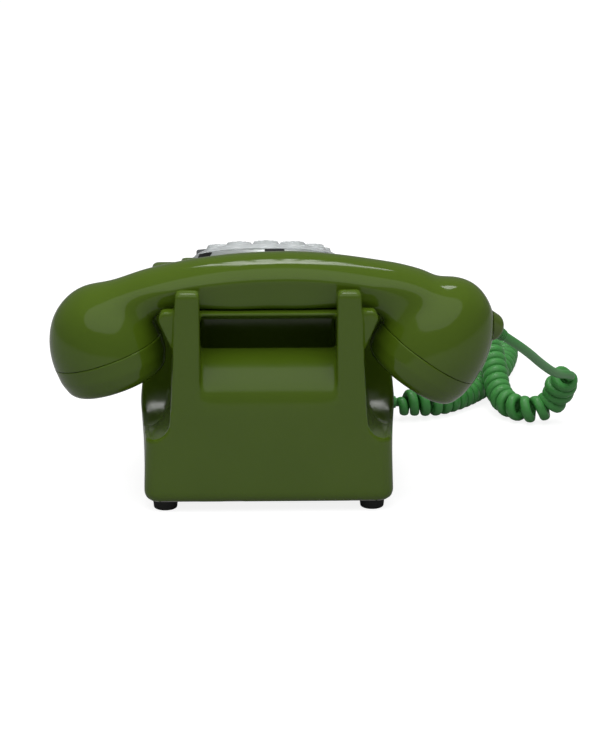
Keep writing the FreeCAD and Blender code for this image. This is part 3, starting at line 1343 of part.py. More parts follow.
def build():
    """Every node of the telephone by name."""
    path, tail, tail_heading, nose, nose_heading = curl_path()
    shell = handset_shell()
    return {
        "case": case(),
        "base_plate": base_plate(),
        "rubber_feet": rubber_feet(),
        "base_screws": base_screws(),
        "line_socket": line_socket(),
        "handset_shell": shell,
        "receiver_cap": cap(RECEIVER, [(0, 1), (5, 6), (10, 12)]),
        "transmitter_cap": cap(TRANSMITTER, [(0, 1), (6, 8)]),
        "receiver_capsule": capsule(RECEIVER),
        "transmitter_capsule": capsule(TRANSMITTER),
        "handset_terminals": handset_terminals(),
        "cord_boss": cord_boss(shell),
        "cord_strain_relief": strain_relief(),
        "cord_lead": cord_lead(nose, nose_heading),
        "curly_cord": tube(path, tail, tail_heading, CORD_R),
        "cord_plug": cord_plug(tail),
        "plungers": plungers(),
        "hook_lever": hook_lever(),
        "hook_pin": hook_pin(),
        "hook_bracket": hook_bracket(),
        "hook_spring": hook_spring(),
        "hook_contacts": hook_contacts(),
        "finger_wheel": finger_wheel(),
        "centre_disc": centre_disc(),
        "centre_ring": centre_ring(),
        "dial_frame": dial_frame(),
        "dial_rear_plate": rear_plate(),
        "dial_plate": dial_plate(),
        "dial_bezel": dial_bezel(),
        "bezel_clips": bezel_clips(),
        "finger_stop": finger_stop(),
        "dial_screws": dial_screws(),
        "wheel_shaft": wheel_shaft(),
        "main_gear": main_gear(),
        "governor_shaft": governor_shaft(),
        "governor_weights": governor_weights(),
        "governor_cup": governor_cup(),
        "main_spring": main_spring(),
        "spring_barrel": spring_barrel(),
        "pulse_cam": pulse_cam(),
        "pulse_contacts": pulse_contacts(),
        "gong_left": gong(-GONG_X),
        "gong_right": gong(GONG_X),
        "gong_screws": gong_screws(),
        "bell_bracket": bell_bracket(),
        "bell_core": bell_core(),
        "bell_coils": bell_coils(),
        "clapper": clapper(),
        "clapper_pin": clapper_pin(),
        "circuit_board": circuit_board(),
        "board_pillars": board_pillars(),
        "capacitor": capacitor(),
        "induction_coil": induction_coil(),
        "terminal_strip": terminal_strip(),
    }


def main():
    os.makedirs("parts", exist_ok=True)
    for name, made in build().items():
        shape = Part.makeCompound(made) if isinstance(made, list) else made
        solids = shape.Solids
        bad = [s for s in solids if not s.isValid() or s.Volume <= 0]
        volume = sum(s.Volume for s in solids)
        note = f", {len(bad)} BAD" if bad else ""
        print(f"{name}: {len(solids)} solids, {volume / 1000:.2f} cm3{note}")
        shape = solids[0] if len(solids) == 1 else Part.makeCompound(solids)
        shape.translate(SIDE * FRAME_SHIFT)
        shape.exportStep(f"parts/{name}.step")


main()
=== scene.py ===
# %% [markdown]
# A desk telephone with a rotary dial, seen from behind.
# The case, the handset and both cups are glossy moulded plastic in olive green. A leaf-green
# curly cord runs from the case's flank to the handset. The engineering model gives every piece
# its real size and place, so this lesson only dresses it: it rounds, smooths and finishes
# surfaces, winds the cord, and sets up a plain studio. The model is loaded first, and its size
# is kept, because nothing here may make the telephone larger.

# %% Load the frame
import json
import math

import bmesh
import bpy
from mathutils import Matrix, Vector
from mathutils.kdtree import KDTree

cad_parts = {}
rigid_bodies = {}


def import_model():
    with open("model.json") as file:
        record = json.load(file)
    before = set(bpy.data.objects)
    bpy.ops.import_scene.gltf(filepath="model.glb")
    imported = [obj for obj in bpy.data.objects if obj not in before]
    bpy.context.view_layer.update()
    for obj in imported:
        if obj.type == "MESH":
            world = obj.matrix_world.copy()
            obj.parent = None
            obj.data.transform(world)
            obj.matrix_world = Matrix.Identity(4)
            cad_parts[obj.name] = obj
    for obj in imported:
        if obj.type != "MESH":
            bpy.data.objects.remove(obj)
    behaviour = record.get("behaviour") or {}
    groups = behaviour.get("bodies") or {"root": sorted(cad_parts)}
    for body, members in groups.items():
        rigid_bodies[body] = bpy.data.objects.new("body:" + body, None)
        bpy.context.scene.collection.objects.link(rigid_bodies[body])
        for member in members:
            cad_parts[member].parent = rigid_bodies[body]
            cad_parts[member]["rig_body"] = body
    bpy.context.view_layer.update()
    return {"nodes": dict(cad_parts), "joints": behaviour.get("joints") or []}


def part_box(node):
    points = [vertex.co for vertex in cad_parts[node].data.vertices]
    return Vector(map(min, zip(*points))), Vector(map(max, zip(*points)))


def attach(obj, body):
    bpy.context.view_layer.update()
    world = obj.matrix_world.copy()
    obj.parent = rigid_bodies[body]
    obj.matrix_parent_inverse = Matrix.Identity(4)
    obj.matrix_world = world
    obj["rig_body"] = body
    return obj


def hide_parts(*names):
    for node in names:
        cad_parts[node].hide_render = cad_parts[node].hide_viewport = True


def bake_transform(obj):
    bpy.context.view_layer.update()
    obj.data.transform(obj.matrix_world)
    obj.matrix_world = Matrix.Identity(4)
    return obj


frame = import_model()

MM = 0.001

# %% [markdown]
# Places on the telephone are easiest to give as a designer does: sideways, ahead of the rear
# wall, and up. The rear wall and the middle line are read from the model, so that one change
# there moves everything here.

# %% Places on the telephone
case_low, case_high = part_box("case")
MIDDLE_X = round((case_low.x + case_high.x) / 2, 4)
REAR_Y = round(case_high.y, 3)


def at(x, ahead, z):
    """A point in metres, from millimetres sideways, ahead of the rear wall and up."""
    return Vector((MIDDLE_X + x * MM, REAR_Y - ahead * MM, z * MM))


print("middle line at", MIDDLE_X, "rear wall at", REAR_Y)

# %% [markdown]
# The photograph was taken from behind the telephone, a little above it, with a long lens. The
# camera is placed by what it sees: the middle of the handle lies left of the picture's middle.
# The picture is 600 by 750, so its framing comes from the lens, the sensor's width and the two
# steps of the aim.

# %% The camera
AIM_POINT = (0, 30, 70)
CAMERA_AZIMUTH = math.radians(178.8)
CAMERA_ELEVATION = math.radians(17.14)
CAMERA_DISTANCE = 1.4195
CAMERA_LENS = 170.87
SENSOR_WIDTH = 36.0
AIM_SIDEWAYS = -0.01595
AIM_UP = 0.00683

aim = at(*AIM_POINT)
away = Vector((math.sin(CAMERA_AZIMUTH) * math.cos(CAMERA_ELEVATION),
               -math.cos(CAMERA_AZIMUTH) * math.cos(CAMERA_ELEVATION),
               math.sin(CAMERA_ELEVATION)))
right = (-away).cross(Vector((0, 0, 1))).normalized()
upward = right.cross(-away).normalized()
stand = aim + away * CAMERA_DISTANCE - right * AIM_SIDEWAYS - upward * AIM_UP
bpy.ops.object.camera_add(location=stand)
camera = bpy.context.object
camera.rotation_euler = Matrix((right, upward, away)).transposed().to_euler()
camera.data.lens = CAMERA_LENS
camera.data.sensor_width = SENSOR_WIDTH
camera.data.sensor_fit = "HORIZONTAL"
bpy.context.scene.camera = camera
print("camera at, mm:", [round(v / MM) for v in stand])

# %% [markdown]
# Every finish is built from nodes. One helper makes a material, one adds a node with its
# settings and links, one turns a colour as picked on a screen into the linear light that the
# renderer works in, and one turns a real pattern size in millimetres into a texture's scale.

# %% Helpers for finishes
def linear(code):
    """A hex screen colour as linear red, green, blue and alpha."""
    parts = [int(code[i:i + 2], 16) / 255 for i in (1, 3, 5)]
    return [p / 12.92 if p <= 0.04045 else ((p + 0.055) / 1.055) ** 2.4 for p in parts] + [1.0]


def per_mm(size):
    """The texture scale that makes a pattern's features this many millimetres wide."""
    return 1.0 / (size * MM)


def add_node(tree, kind, inputs=None, **settings):
    """Adds a node, sets its options, and fills its sockets with values or links."""
    node = tree.nodes.new(kind)
    for name, value in settings.items():
        setattr(node, name, value)
    for socket, value in (inputs or {}).items():
        if isinstance(value, bpy.types.NodeSocket):
            tree.links.new(value, node.inputs[socket])
        else:
            node.inputs[socket].default_value = value
    return node


def new_finish(name):
    """An empty material and its node tree."""
    finish = bpy.data.materials.new(name)
    finish.use_nodes = True
    finish.node_tree.nodes.clear()
    return finish, finish.node_tree


def finish_with(tree, shader):
    """Joins the last shader to the material's output."""
    add_node(tree, "ShaderNodeOutputMaterial", {"Surface": shader.outputs[0]})


# %% [markdown]
# The case and handset are ABS, injection moulded in a polished tool and coloured right through.
# That gives the eye a deep colour with a clear, slightly soft reflection on top. Real mouldings
# aren't perfect mirrors: the skin ripples a little as the plastic shrinks, and years of hands
# leave the gloss uneven. So the colour drifts by a few percent over centimetres, the roughness
# wanders, and a very shallow bump breaks the reflections. A Bevel node rounds the light on the
# sharp edges that a real tool always leaves slightly soft.

# %% Moulded ABS
def moulded_abs(name, deep, pale, roughness, edge_mm, ripple=0.06):
    """A polished moulding: its two colours, its gloss, the softness of its edges and its ripple."""
    finish, tree = new_finish(name)
    place = add_node(tree, "ShaderNodeTexCoord").outputs["Object"]
    drift = add_node(tree, "ShaderNodeTexNoise", {"Vector": place, "Scale": per_mm(38), "Detail": 2.0})
    colour = add_node(tree, "ShaderNodeMix", {"Factor": drift.outputs["Fac"], "A": linear(deep),
                                              "B": linear(pale)}, data_type="RGBA")
    wear = add_node(tree, "ShaderNodeTexNoise", {"Vector": place, "Scale": per_mm(9), "Detail": 5.0,
                                                 "Roughness": 0.6})
    gloss = add_node(tree, "ShaderNodeMapRange", {"Value": wear.outputs["Fac"], "From Min": 0.3,
                                                  "From Max": 0.75, "To Min": roughness * 0.85,
                                                  "To Max": roughness * 1.25})
    soft_edge = add_node(tree, "ShaderNodeBevel", {"Radius": edge_mm * MM}, samples=6)
    shrink = add_node(tree, "ShaderNodeTexNoise", {"Vector": place, "Scale": per_mm(14), "Detail": 1.0})
    skin = add_node(tree, "ShaderNodeBump", {"Height": shrink.outputs["Fac"], "Strength": ripple,
                                             "Distance": 0.6 * MM, "Normal": soft_edge.outputs["Normal"]})
    plastic = add_node(tree, "ShaderNodeBsdfPrincipled", {"Base Color": colour.outputs["Result"],
                                                          "Roughness": gloss.outputs["Result"], "IOR": 1.5,
                                                          "Normal": skin.outputs["Normal"]})
    finish_with(tree, plastic)
    return finish


olive_abs = moulded_abs("olive_green_abs", "#4A6213", "#506817", 0.16, 0.9)
handset_abs = moulded_abs("olive_green_handset_abs", "#4A6213", "#506817", 0.09, 0.35, ripple=0.03)
black_abs = moulded_abs("black_abs", "#141414", "#1C1C1C", 0.35, 0.2)
cream_nylon = moulded_abs("cream_nylon", "#D8D4C4", "#E2DFD0", 0.45, 0.1)
print("moulded:", [f.name for f in (olive_abs, handset_abs, black_abs, cream_nylon)])

# %% [markdown]
# The cord's jacket is soft PVC: a bluer, brighter green than the case, drawn through a die, so
# it has a satin sheen with faint lengthwise unevenness. The feet are moulded rubber with a fine
# grit, which scatters the light so that hardly any reflection is left.

# %% Cord jacket and rubber
def soft_polymer(name, deep, pale, roughness, grit_mm, grit):
    """A satin polymer: its two colours, its gloss, and how wide and how deep its grit is."""
    finish, tree = new_finish(name)
    place = add_node(tree, "ShaderNodeTexCoord").outputs["Object"]
    drift = add_node(tree, "ShaderNodeTexNoise", {"Vector": place, "Scale": per_mm(12), "Detail": 3.0})
    colour = add_node(tree, "ShaderNodeMix", {"Factor": drift.outputs["Fac"], "A": linear(deep),
                                              "B": linear(pale)}, data_type="RGBA")
    grain = add_node(tree, "ShaderNodeTexNoise", {"Vector": place, "Scale": per_mm(grit_mm), "Detail": 4.0})
    skin = add_node(tree, "ShaderNodeBump", {"Height": grain.outputs["Fac"], "Strength": grit,
                                             "Distance": 0.15 * MM})
    jacket = add_node(tree, "ShaderNodeBsdfPrincipled", {"Base Color": colour.outputs["Result"],
                                                         "Roughness": roughness, "IOR": 1.52,
                                                         "Normal": skin.outputs["Normal"]})
    finish_with(tree, jacket)
    return finish


cord_pvc = soft_polymer("green_pvc_jacket", "#408F41", "#4D9A4D", 0.36, 1.2, 0.12)
feet_rubber = soft_polymer("black_rubber", "#101010", "#191919", 0.62, 0.4, 0.35)
print("soft:", cord_pvc.name, feet_rubber.name)

# %% [markdown]
# The finger wheel is clear acrylic, which bends light at an index of 1.49. The photograph shows
# an old one: its skin is full of fine wear marks, so it looks milky and silvery rather than
# clear. Transmission lets a little less than half of the light through, and the rest comes back
# as from a pale, glossy plastic. The plate below is white enamel with printed figures. It is as
# smooth as a moulding and hardly ripples, so the moulding's recipe makes it too.

# %% Clear acrylic and white enamel
def clear_acrylic(name):
    """Worn clear plastic, with marks in its gloss."""
    finish, tree = new_finish(name)
    place = add_node(tree, "ShaderNodeTexCoord").outputs["Object"]
    marks = add_node(tree, "ShaderNodeTexNoise", {"Vector": place, "Scale": per_mm(3), "Detail": 6.0,
                                                  "Roughness": 0.7})
    gloss = add_node(tree, "ShaderNodeMapRange", {"Value": marks.outputs["Fac"], "From Min": 0.35,
                                                  "From Max": 0.8, "To Min": 0.14, "To Max": 0.26})
    acrylic = add_node(tree, "ShaderNodeBsdfPrincipled", {"Base Color": linear("#E9EDEE"),
                                                          "Roughness": gloss.outputs["Result"], "IOR": 1.49,
                                                          "Transmission Weight": 0.45})
    finish_with(tree, acrylic)
    return finish


wheel_acrylic = clear_acrylic("clear_acrylic")
plate_enamel = moulded_abs("white_enamel", "#E4E4DE", "#ECECE7", 0.2, 0.1, ripple=0.01)
print("dial:", wheel_acrylic.name, plate_enamel.name)

# %% [markdown]
# The metals: bright nickel plate on the dial's ring and finger stop, zinc plate on the hidden
# steel, brass gongs and gears. Plate is smooth with fine polishing scratches; zinc has a cloudy
# spangle. A metal's colour is its reflection, so it is metallic 1 and keeps the default index.
# The bezel alone is painted: a silver lacquer, whose flakes mirror like metal and whose binder
# doesn't, so it is about half metallic.

# %% Metals
def plated(name, deep, pale, roughness, cloud_mm, scratch, metallic=1.0):
    """A plated or painted metal: its two colours, its gloss, its clouds and its scratches."""
    finish, tree = new_finish(name)
    place = add_node(tree, "ShaderNodeTexCoord").outputs["Object"]
    cloud = add_node(tree, "ShaderNodeTexNoise", {"Vector": place, "Scale": per_mm(cloud_mm), "Detail": 3.0})
    colour = add_node(tree, "ShaderNodeMix", {"Factor": cloud.outputs["Fac"], "A": linear(deep),
                                              "B": linear(pale)}, data_type="RGBA")
    long_way = add_node(tree, "ShaderNodeMapping", {"Vector": place, "Scale": (1.0, 14.0, 14.0)})
    lines = add_node(tree, "ShaderNodeTexNoise", {"Vector": long_way.outputs[0], "Scale": per_mm(4),
                                                  "Detail": 4.0})
    polish = add_node(tree, "ShaderNodeBump", {"Height": lines.outputs["Fac"], "Strength": scratch,
                                               "Distance": 0.1 * MM})
    gloss = add_node(tree, "ShaderNodeMapRange", {"Value": cloud.outputs["Fac"], "To Min": roughness * 0.8,
                                                  "To Max": roughness * 1.3})
    metal = add_node(tree, "ShaderNodeBsdfPrincipled", {"Base Color": colour.outputs["Result"],
                                                        "Metallic": metallic,
                                                        "Roughness": gloss.outputs["Result"],
                                                        "Normal": polish.outputs["Normal"]})
    finish_with(tree, metal)
    return finish


satin_silver = plated("satin_silver_lacquer", "#C4CAC8", "#D3D8D6", 0.32, 5, 0.03, metallic=0.55)
bright_nickel = plated("bright_nickel_plate", "#C9CDD0", "#DADEE0", 0.16, 6, 0.03)
zinc_plate = plated("zinc_plated_steel", "#9A9A96", "#B4B3AB", 0.38, 2.5, 0.1)
gong_brass = plated("lacquered_brass", "#B08D45", "#C6A35A", 0.24, 5, 0.06)
pressed_aluminium = plated("pressed_aluminium", "#B9BBBC", "#CBCDCE", 0.3, 3, 0.08)
print("metals:", [f.name for f in (satin_silver, bright_nickel, zinc_plate, gong_brass, pressed_aluminium)])

# %% [markdown]
# Two more satin skins are needed inside: the enamel on the coils' copper wire, and the brown
# paper laminate of the circuit board. They scatter light as a soft polymer does.

# %% Wire enamel and laminate
enamelled_copper = soft_polymer("enamelled_copper_wire", "#6E2A12", "#8A3B1A", 0.3, 0.6, 0.4)
paper_laminate = soft_polymer("paper_laminate_board", "#6B4A22", "#7A5629", 0.45, 0.8, 0.2)
print("inside:", enamelled_copper.name, paper_laminate.name)

# %% [markdown]
# The engineering model's meshes are loose triangles, which shade as facets. A copy is merged,
# then smoothed wherever two faces meet at less than a chosen angle, and stands in for the node.

# %% Dressing a piece of the model
MERGE_WITHIN = 0.000004


def choose(piece):
    """Makes one object the only selected one, and active."""
    if bpy.context.object and bpy.context.object.mode != "OBJECT":
        bpy.ops.object.mode_set(mode="OBJECT")
    bpy.ops.object.select_all(action="DESELECT")
    piece.select_set(True)
    bpy.context.view_layer.objects.active = piece


def merged_copy(node, name):
    """A copy of a node's mesh with its loose triangles joined."""
    piece = bpy.data.objects.new(name, frame["nodes"][node].data.copy())
    bpy.context.scene.collection.objects.link(piece)
    choose(piece)
    bpy.ops.mesh.customdata_custom_splitnormals_clear()
    bpy.ops.object.mode_set(mode="EDIT")
    bpy.ops.mesh.select_all(action="SELECT")
    bpy.ops.mesh.remove_doubles(threshold=MERGE_WITHIN)
    bpy.ops.object.mode_set(mode="OBJECT")
    return piece


def give(piece, finish):
    """Makes a finish the piece's only one."""
    piece.data.materials.clear()
    piece.data.materials.append(finish)


def stand_in(piece, node, finish, angle):
    """Shades a piece, gives it its finish, and lets it ride and stand in for a node."""
    choose(piece)
    bpy.ops.object.shade_smooth_by_angle(angle=math.radians(angle))
    give(piece, finish)
    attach(piece, frame["nodes"][node]["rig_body"])
    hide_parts(node)


def dress(node, name, finish, slot):
    """A smooth copy of a node, which stands in for it."""
    piece = merged_copy(node, name)
    stand_in(piece, node, finish, 30)
    return piece


# %% [markdown]
# The case comes first: one shell with two rear posts, two front horns, a pocket for each cup,
# and a carry-handle recess. A mould tool has no sharp edge, so the copy is remeshed finely and
# smoothed a little, which rounds every edge by about a millimetre. Flat walls hardly move. The
# edge below the carry-handle recess is rounder than the rest, so a group of vertices near it is
# smoothed longer first. The mesh is then thinned where it is flat, to about as many triangles as
# that many squares hold.

# %% Case
CASE_VOXEL = 0.95 * MM
CASE_SMOOTHING = 7
RECESS_HALF = 33.5
RECESS_EDGE_Z = 55.0
LIP_REACH = 11.0
LIP_FADE = 3
LIP_SMOOTHING = 150
SQUARES_KEPT = 85000
WEAKEST = 0.01


def smooth_step(share):
    """A share from 0 to 1, with soft ends."""
    share = min(max(share, 0.0), 1.0)
    return share * share * (3 - 2 * share)


def near(distance, reach):
    """1 close by, and 0 a little past the reach."""
    return smooth_step(1.3 - distance / reach)


def remeshed(piece, voxel):
    """The piece as one even skin of small squares."""
    remesh = piece.modifiers.new("one_skin", "REMESH")
    remesh.mode = "VOXEL"
    remesh.voxel_size = voxel
    choose(piece)
    bpy.ops.object.modifier_apply(modifier=remesh.name)


def smoothed(piece, rounds, group=""):
    """Relaxes the skin, everywhere or in one vertex group."""
    relax = piece.modifiers.new("relax", "SMOOTH")
    relax.factor = 0.5
    relax.iterations = rounds
    relax.vertex_group = group
    choose(piece)
    bpy.ops.object.modifier_apply(modifier=relax.name)


def thinned(piece, share):
    """Fewer triangles, mostly taken where the skin is flat."""
    fewer = piece.modifiers.new("fewer", "DECIMATE")
    fewer.ratio = share
    choose(piece)
    bpy.ops.object.modifier_apply(modifier=fewer.name)


def lip_weight(place):
    """How strongly a point belongs to the edge below the recess."""
    off = at(0, 0, RECESS_EDGE_Z) - place
    inside = smooth_step((RECESS_HALF - abs(off.x) / MM) / LIP_FADE)
    return near(math.hypot(off.y, off.z) / MM, LIP_REACH) * inside


case_shell = merged_copy("case", "case_shell")
remeshed(case_shell, CASE_VOXEL)
lip = case_shell.vertex_groups.new(name="lip")
for vertex in case_shell.data.vertices:
    weight = lip_weight(vertex.co)
    if weight > WEAKEST:
        lip.add([vertex.index], weight, "REPLACE")
smoothed(case_shell, LIP_SMOOTHING, "lip")
smoothed(case_shell, CASE_SMOOTHING)
case_squares = len(case_shell.data.polygons)
thinned(case_shell, min(1.0, SQUARES_KEPT / case_squares))
stand_in(case_shell, "case", olive_abs, 50)
print("case squares:", case_squares, "faces kept:", len(case_shell.data.polygons))

# %% [markdown]
# The other pieces that show keep the meshes that they have, because their edges are crisp on the
# real telephone too. Each row below is a node, the name of its copy, its finish and its slot.

# %% Caps, cord fittings and dial
ROWS = [
    ("receiver_cap", "receiver_cap_dressed", handset_abs, "green_handset"),
    ("transmitter_cap", "transmitter_cap_dressed", handset_abs, "green_handset"),
    ("cord_boss", "cord_boss_dressed", handset_abs, "green_handset"),
    ("cord_strain_relief", "strain_relief", cord_pvc, "green_cord"),
    ("cord_plug", "cord_grommet", cord_pvc, "green_cord"),
    ("rubber_feet", "feet_dressed", feet_rubber, "black_rubber"),
    ("dial_bezel", "bright_dial_bezel", satin_silver, "bright_metal"),
    ("bezel_clips", "black_bezel_clips", black_abs, "black_plastic"),
    ("finger_stop", "bright_finger_stop", bright_nickel, "bright_metal"),
    ("dial_plate", "white_dial_plate", plate_enamel, "white_plastic"),
    ("centre_disc", "white_centre_disc", plate_enamel, "white_plastic"),
    ("centre_ring", "bright_centre_ring", bright_nickel, "bright_metal"),
]
dressed = {row[0]: dress(*row) for row in ROWS}
print("dressed:", ", ".join(dressed))

# %% [markdown]
# The finger wheel is moulded too, and the collars round its holes have a soft, domed rim. It is
# rounded the same way as the case, only finer.

# %% Finger wheel
WHEEL_VOXEL = 0.45 * MM
WHEEL_SMOOTHING = 6

wheel = merged_copy("finger_wheel", "clear_finger_wheel")
remeshed(wheel, WHEEL_VOXEL)
smoothed(wheel, WHEEL_SMOOTHING)
stand_in(wheel, "finger_wheel", wheel_acrylic, 60)
print("finger wheel faces:", len(wheel.data.polygons))

# %% [markdown]
# Pieces inside the case keep their own meshes, because they show only when the telephone comes
# apart, but each has the finish of what it is made of.

# %% Finishes for the rest
REST = {
    zinc_plate: ["base_plate", "base_screws", "hook_pin", "hook_bracket", "hook_spring", "dial_frame",
                 "dial_rear_plate", "dial_screws", "wheel_shaft", "governor_shaft", "governor_cup",
                 "main_spring", "bell_bracket", "bell_core", "gong_screws", "clapper_pin", "clapper",
                 "board_pillars", "spring_barrel"],
    gong_brass: ["main_gear", "governor_weights", "gong_left", "gong_right", "hook_contacts",
                 "pulse_contacts"],
    pressed_aluminium: ["receiver_capsule", "transmitter_capsule", "capacitor"],
    black_abs: ["line_socket", "plungers", "hook_lever", "handset_terminals", "terminal_strip"],
    cream_nylon: ["pulse_cam"],
    enamelled_copper: ["bell_coils", "induction_coil"],
    paper_laminate: ["circuit_board"],
}
for finish, nodes in REST.items():
    for node in nodes:
        give(frame["nodes"][node], finish)
print("inner pieces:", sum(len(nodes) for nodes in REST.values()))

# %% [markdown]
# The handset is one moulding: a creased grip that swells into a cup at each end. In the
# engineering model the grip and the domes simply cross in a sharp valley. A real tool blends
# them, so shell and caps are joined and remeshed as one skin. The valley's edges are found on
# the model first, and the skin is then smoothed hard near them and hardly at all elsewhere,
# which fills the neck and keeps the crease. Last, the skin is cut along both seams, and what
# lies below them is thrown away, because the caps are there. A seam is given by a point on it,
# sideways and up, and its tilt in degrees.

# %% Handset shell
SEAMS = [(79.6, 77.1, 18.6), (-79.7, 76.0, -34.4)]
HANDSET_AHEAD = 30.0
SKIN_VOXEL = 0.9 * MM
VALLEY_ANGLE = math.radians(-14)
NECKS_ABOVE = 88 * MM
NECKS_OUTSIDE = 55 * MM
NECK_REACH = 17.0 * MM
NECK_SMOOTHING = 260
SKIN_SMOOTHING = 12
CUP_REACH = 45 * MM
ABOVE_SEAM = -6 * MM


def valley_points(piece):
    """Points along the edges where two faces of a piece meet in a valley."""
    mesh = bmesh.new()
    mesh.from_mesh(piece.data)
    found = []
    for edge in mesh.edges:
        if len(edge.link_faces) == 2 and edge.calc_face_angle_signed(0.0) < VALLEY_ANGLE:
            a, b = (v.co for v in edge.verts)
            if max(a.z, b.z) > NECKS_ABOVE and abs(a.x - MIDDLE_X) > NECKS_OUTSIDE:
                found += [a.lerp(b, share / 4) for share in range(5)]
    mesh.free()
    return found


def nearest_to(points):
    """A tree that finds the nearest of these points."""
    tree = KDTree(len(points))
    for i, point in enumerate(points):
        tree.insert(point, i)
    tree.balance()
    return tree


def handset_skin():
    """Shell and caps as one skin, with filled necks."""
    joined = ("handset_shell", "receiver_cap", "transmitter_cap")
    parts = [merged_copy(node, f"skin_{node}") for node in joined]
    valleys = nearest_to(valley_points(parts[0]))
    choose(parts[0])
    for part in parts[1:]:
        part.select_set(True)
    bpy.ops.object.join()
    skin = bpy.context.object
    skin.name = "handset_body"
    remeshed(skin, SKIN_VOXEL)
    neck = skin.vertex_groups.new(name="neck")
    for vertex in skin.data.vertices:
        weight = near(valleys.find(vertex.co)[2], NECK_REACH)
        if weight > WEAKEST:
            neck.add([vertex.index], weight, "REPLACE")
    smoothed(skin, NECK_SMOOTHING, "neck")
    smoothed(skin, SKIN_SMOOTHING)
    return skin


def cut_below_seam(skin, x, z, tilt):
    """Throws away the skin below one seam, and closes the cut."""
    lean = math.radians(tilt)
    out = Vector((-math.sin(lean), 0, -math.cos(lean)))
    choose(skin)
    bpy.ops.object.mode_set(mode="EDIT")
    mesh = bmesh.from_edit_mesh(skin.data)
    seam = at(x, HANDSET_AHEAD, z)
    for face in mesh.faces:
        off = face.calc_center_median() - seam
        face.select_set(off.length < CUP_REACH and off.dot(out) > ABOVE_SEAM)
    bmesh.update_edit_mesh(skin.data)
    bpy.ops.mesh.bisect(plane_co=seam, plane_no=out, use_fill=True, clear_outer=True)
    bpy.ops.object.mode_set(mode="OBJECT")


handset_body = handset_skin()
for x, z, tilt in SEAMS:
    cut_below_seam(handset_body, x, z, tilt)
stand_in(handset_body, "handset_shell", handset_abs, 40)
print("handset skin faces:", len(handset_body.data.polygons))

# %% [markdown]
# The cord leaves a grommet in the case's flank, curls along the table, turns back under the
# handset's cup, climbs, and ends in a straight lead up to the handset. Its route is a short list
# of given points, and a NURBS spline draws a smooth line near them. The curls are
# wound round that line by a formula. The boss on the handset is given by the ends of its axis.
# The points are in metres, and the radii in millimetres.

# %% The cord's route
CORD_R = 2.4
COIL_R = 5.1
COIL_TOP_R = 6.5
TAIL_AT = (-0.0703, 0.1500, 0.0100)
COIL_AXIS = [(-0.0722, 0.1500, 0.0099), (-0.0845, 0.1504, 0.0093), (-0.0935, 0.1542, 0.0080),
             (-0.1040, 0.1635, 0.0077), (-0.1140, 0.1760, 0.0077), (-0.1235, 0.1920, 0.0077),
             (-0.1315, 0.2120, 0.0077), (-0.1370, 0.2320, 0.0077), (-0.1405, 0.2520, 0.0077),
             (-0.1395, 0.2700, 0.0077), (-0.1315, 0.2835, 0.0077), (-0.1180, 0.2860, 0.0078),
             (-0.1075, 0.2750, 0.0088), (-0.1060, 0.2560, 0.0125), (-0.1105, 0.2380, 0.0184),
             (-0.1165, 0.2220, 0.0242), (-0.1225, 0.2070, 0.0274), (-0.1264, 0.1920, 0.0260),
             (-0.1268, 0.1760, 0.0192), (-0.1275, 0.1615, 0.0114), (-0.1320, 0.1490, 0.0082),
             (-0.1405, 0.1415, 0.0079), (-0.1495, 0.1425, 0.0080), (-0.1558, 0.1435, 0.0118),
             (-0.1586, 0.1415, 0.0180), (-0.1592, 0.1382, 0.0235), (-0.1623, 0.1350, 0.0276),
             (-0.1628, 0.1295, 0.0303)]
LEAD_ROUTE = [(-0.1600, 0.1195, 0.0347), (-0.1528, 0.1060, 0.0390), (-0.1432, 0.0860, 0.0503),
              (-0.1335, 0.0640, 0.0636)]
BOSS_AT = (-0.1030, 0.0270, 0.0930)
BOSS_TO = (-0.1135, 0.0375, 0.0835)
RELIEF_LENGTH = 0.008
LEAD_START = 0.012
LEAD_END = 0.004


def spot(point):
    """A route point given as metres sideways, ahead of the rear wall and up."""
    return at(*(v / MM for v in point))


def smooth_line(points, resolution):
    """The points of a NURBS spline near a few given points."""
    curve = bpy.data.curves.new("route", "CURVE")
    curve.dimensions = "3D"
    spline = curve.splines.new("NURBS")
    spline.points.add(len(points) - 1)
    for point, place in zip(spline.points, points):
        point.co = (*place, 1.0)
    spline.order_u = 3
    spline.use_endpoint_u = True
    spline.resolution_u = resolution
    holder = bpy.data.objects.new("route", curve)
    mesh = bpy.data.meshes.new_from_object(holder)
    line = [v.co.copy() for v in mesh.vertices]
    bpy.data.meshes.remove(mesh)
    bpy.data.objects.remove(holder)
    bpy.data.curves.remove(curve)
    return line


# %% [markdown]
# A curl needs a centre, two side directions and a radius at every step along the route. The
# side directions are carried along without twist. The radius grows quickly at each end, and is
# larger near the top, where the curls hang open. In a bend the curls are spread, so that they
# don't run into each other on the inside. What lies behind the cup is wound a little looser than
# what shows. The step is in metres here, and every other length in millimetres.

# %% Winding the curls
STEP = 0.0005
CURLS = 60
COIL_PITCH = 5.0
HIDDEN_PITCH = 6.3
HIDDEN_FROM = 60.0
HIDDEN_TO = 185.0
HIDDEN_BLEND = 25.0
EASE_PITCH = 8.0
COIL_EASE = 3.0
COIL_END_EASE = 7.0
BEND_SHARE = 0.62
LEAST_SHARE = 0.6
BEND_STEPS = 16
LOOSE_AT = 13.0
LOOSE_SPAN = 20.0
PER_CURL = 24


def evenly(line, step):
    """Points a steady step apart along a line of points."""
    found, carry = [line[0]], 0.0
    for a, b in zip(line, line[1:]):
        length = (b - a).length
        while carry + step <= length:
            carry += step
            found.append(a.lerp(b, carry / length))
        carry -= length
    return found


def heading_at(line, i):
    """The way along a line of points, between one point's neighbours."""
    return (line[min(i + 1, len(line) - 1)] - line[max(i - 1, 0)]).normalized()


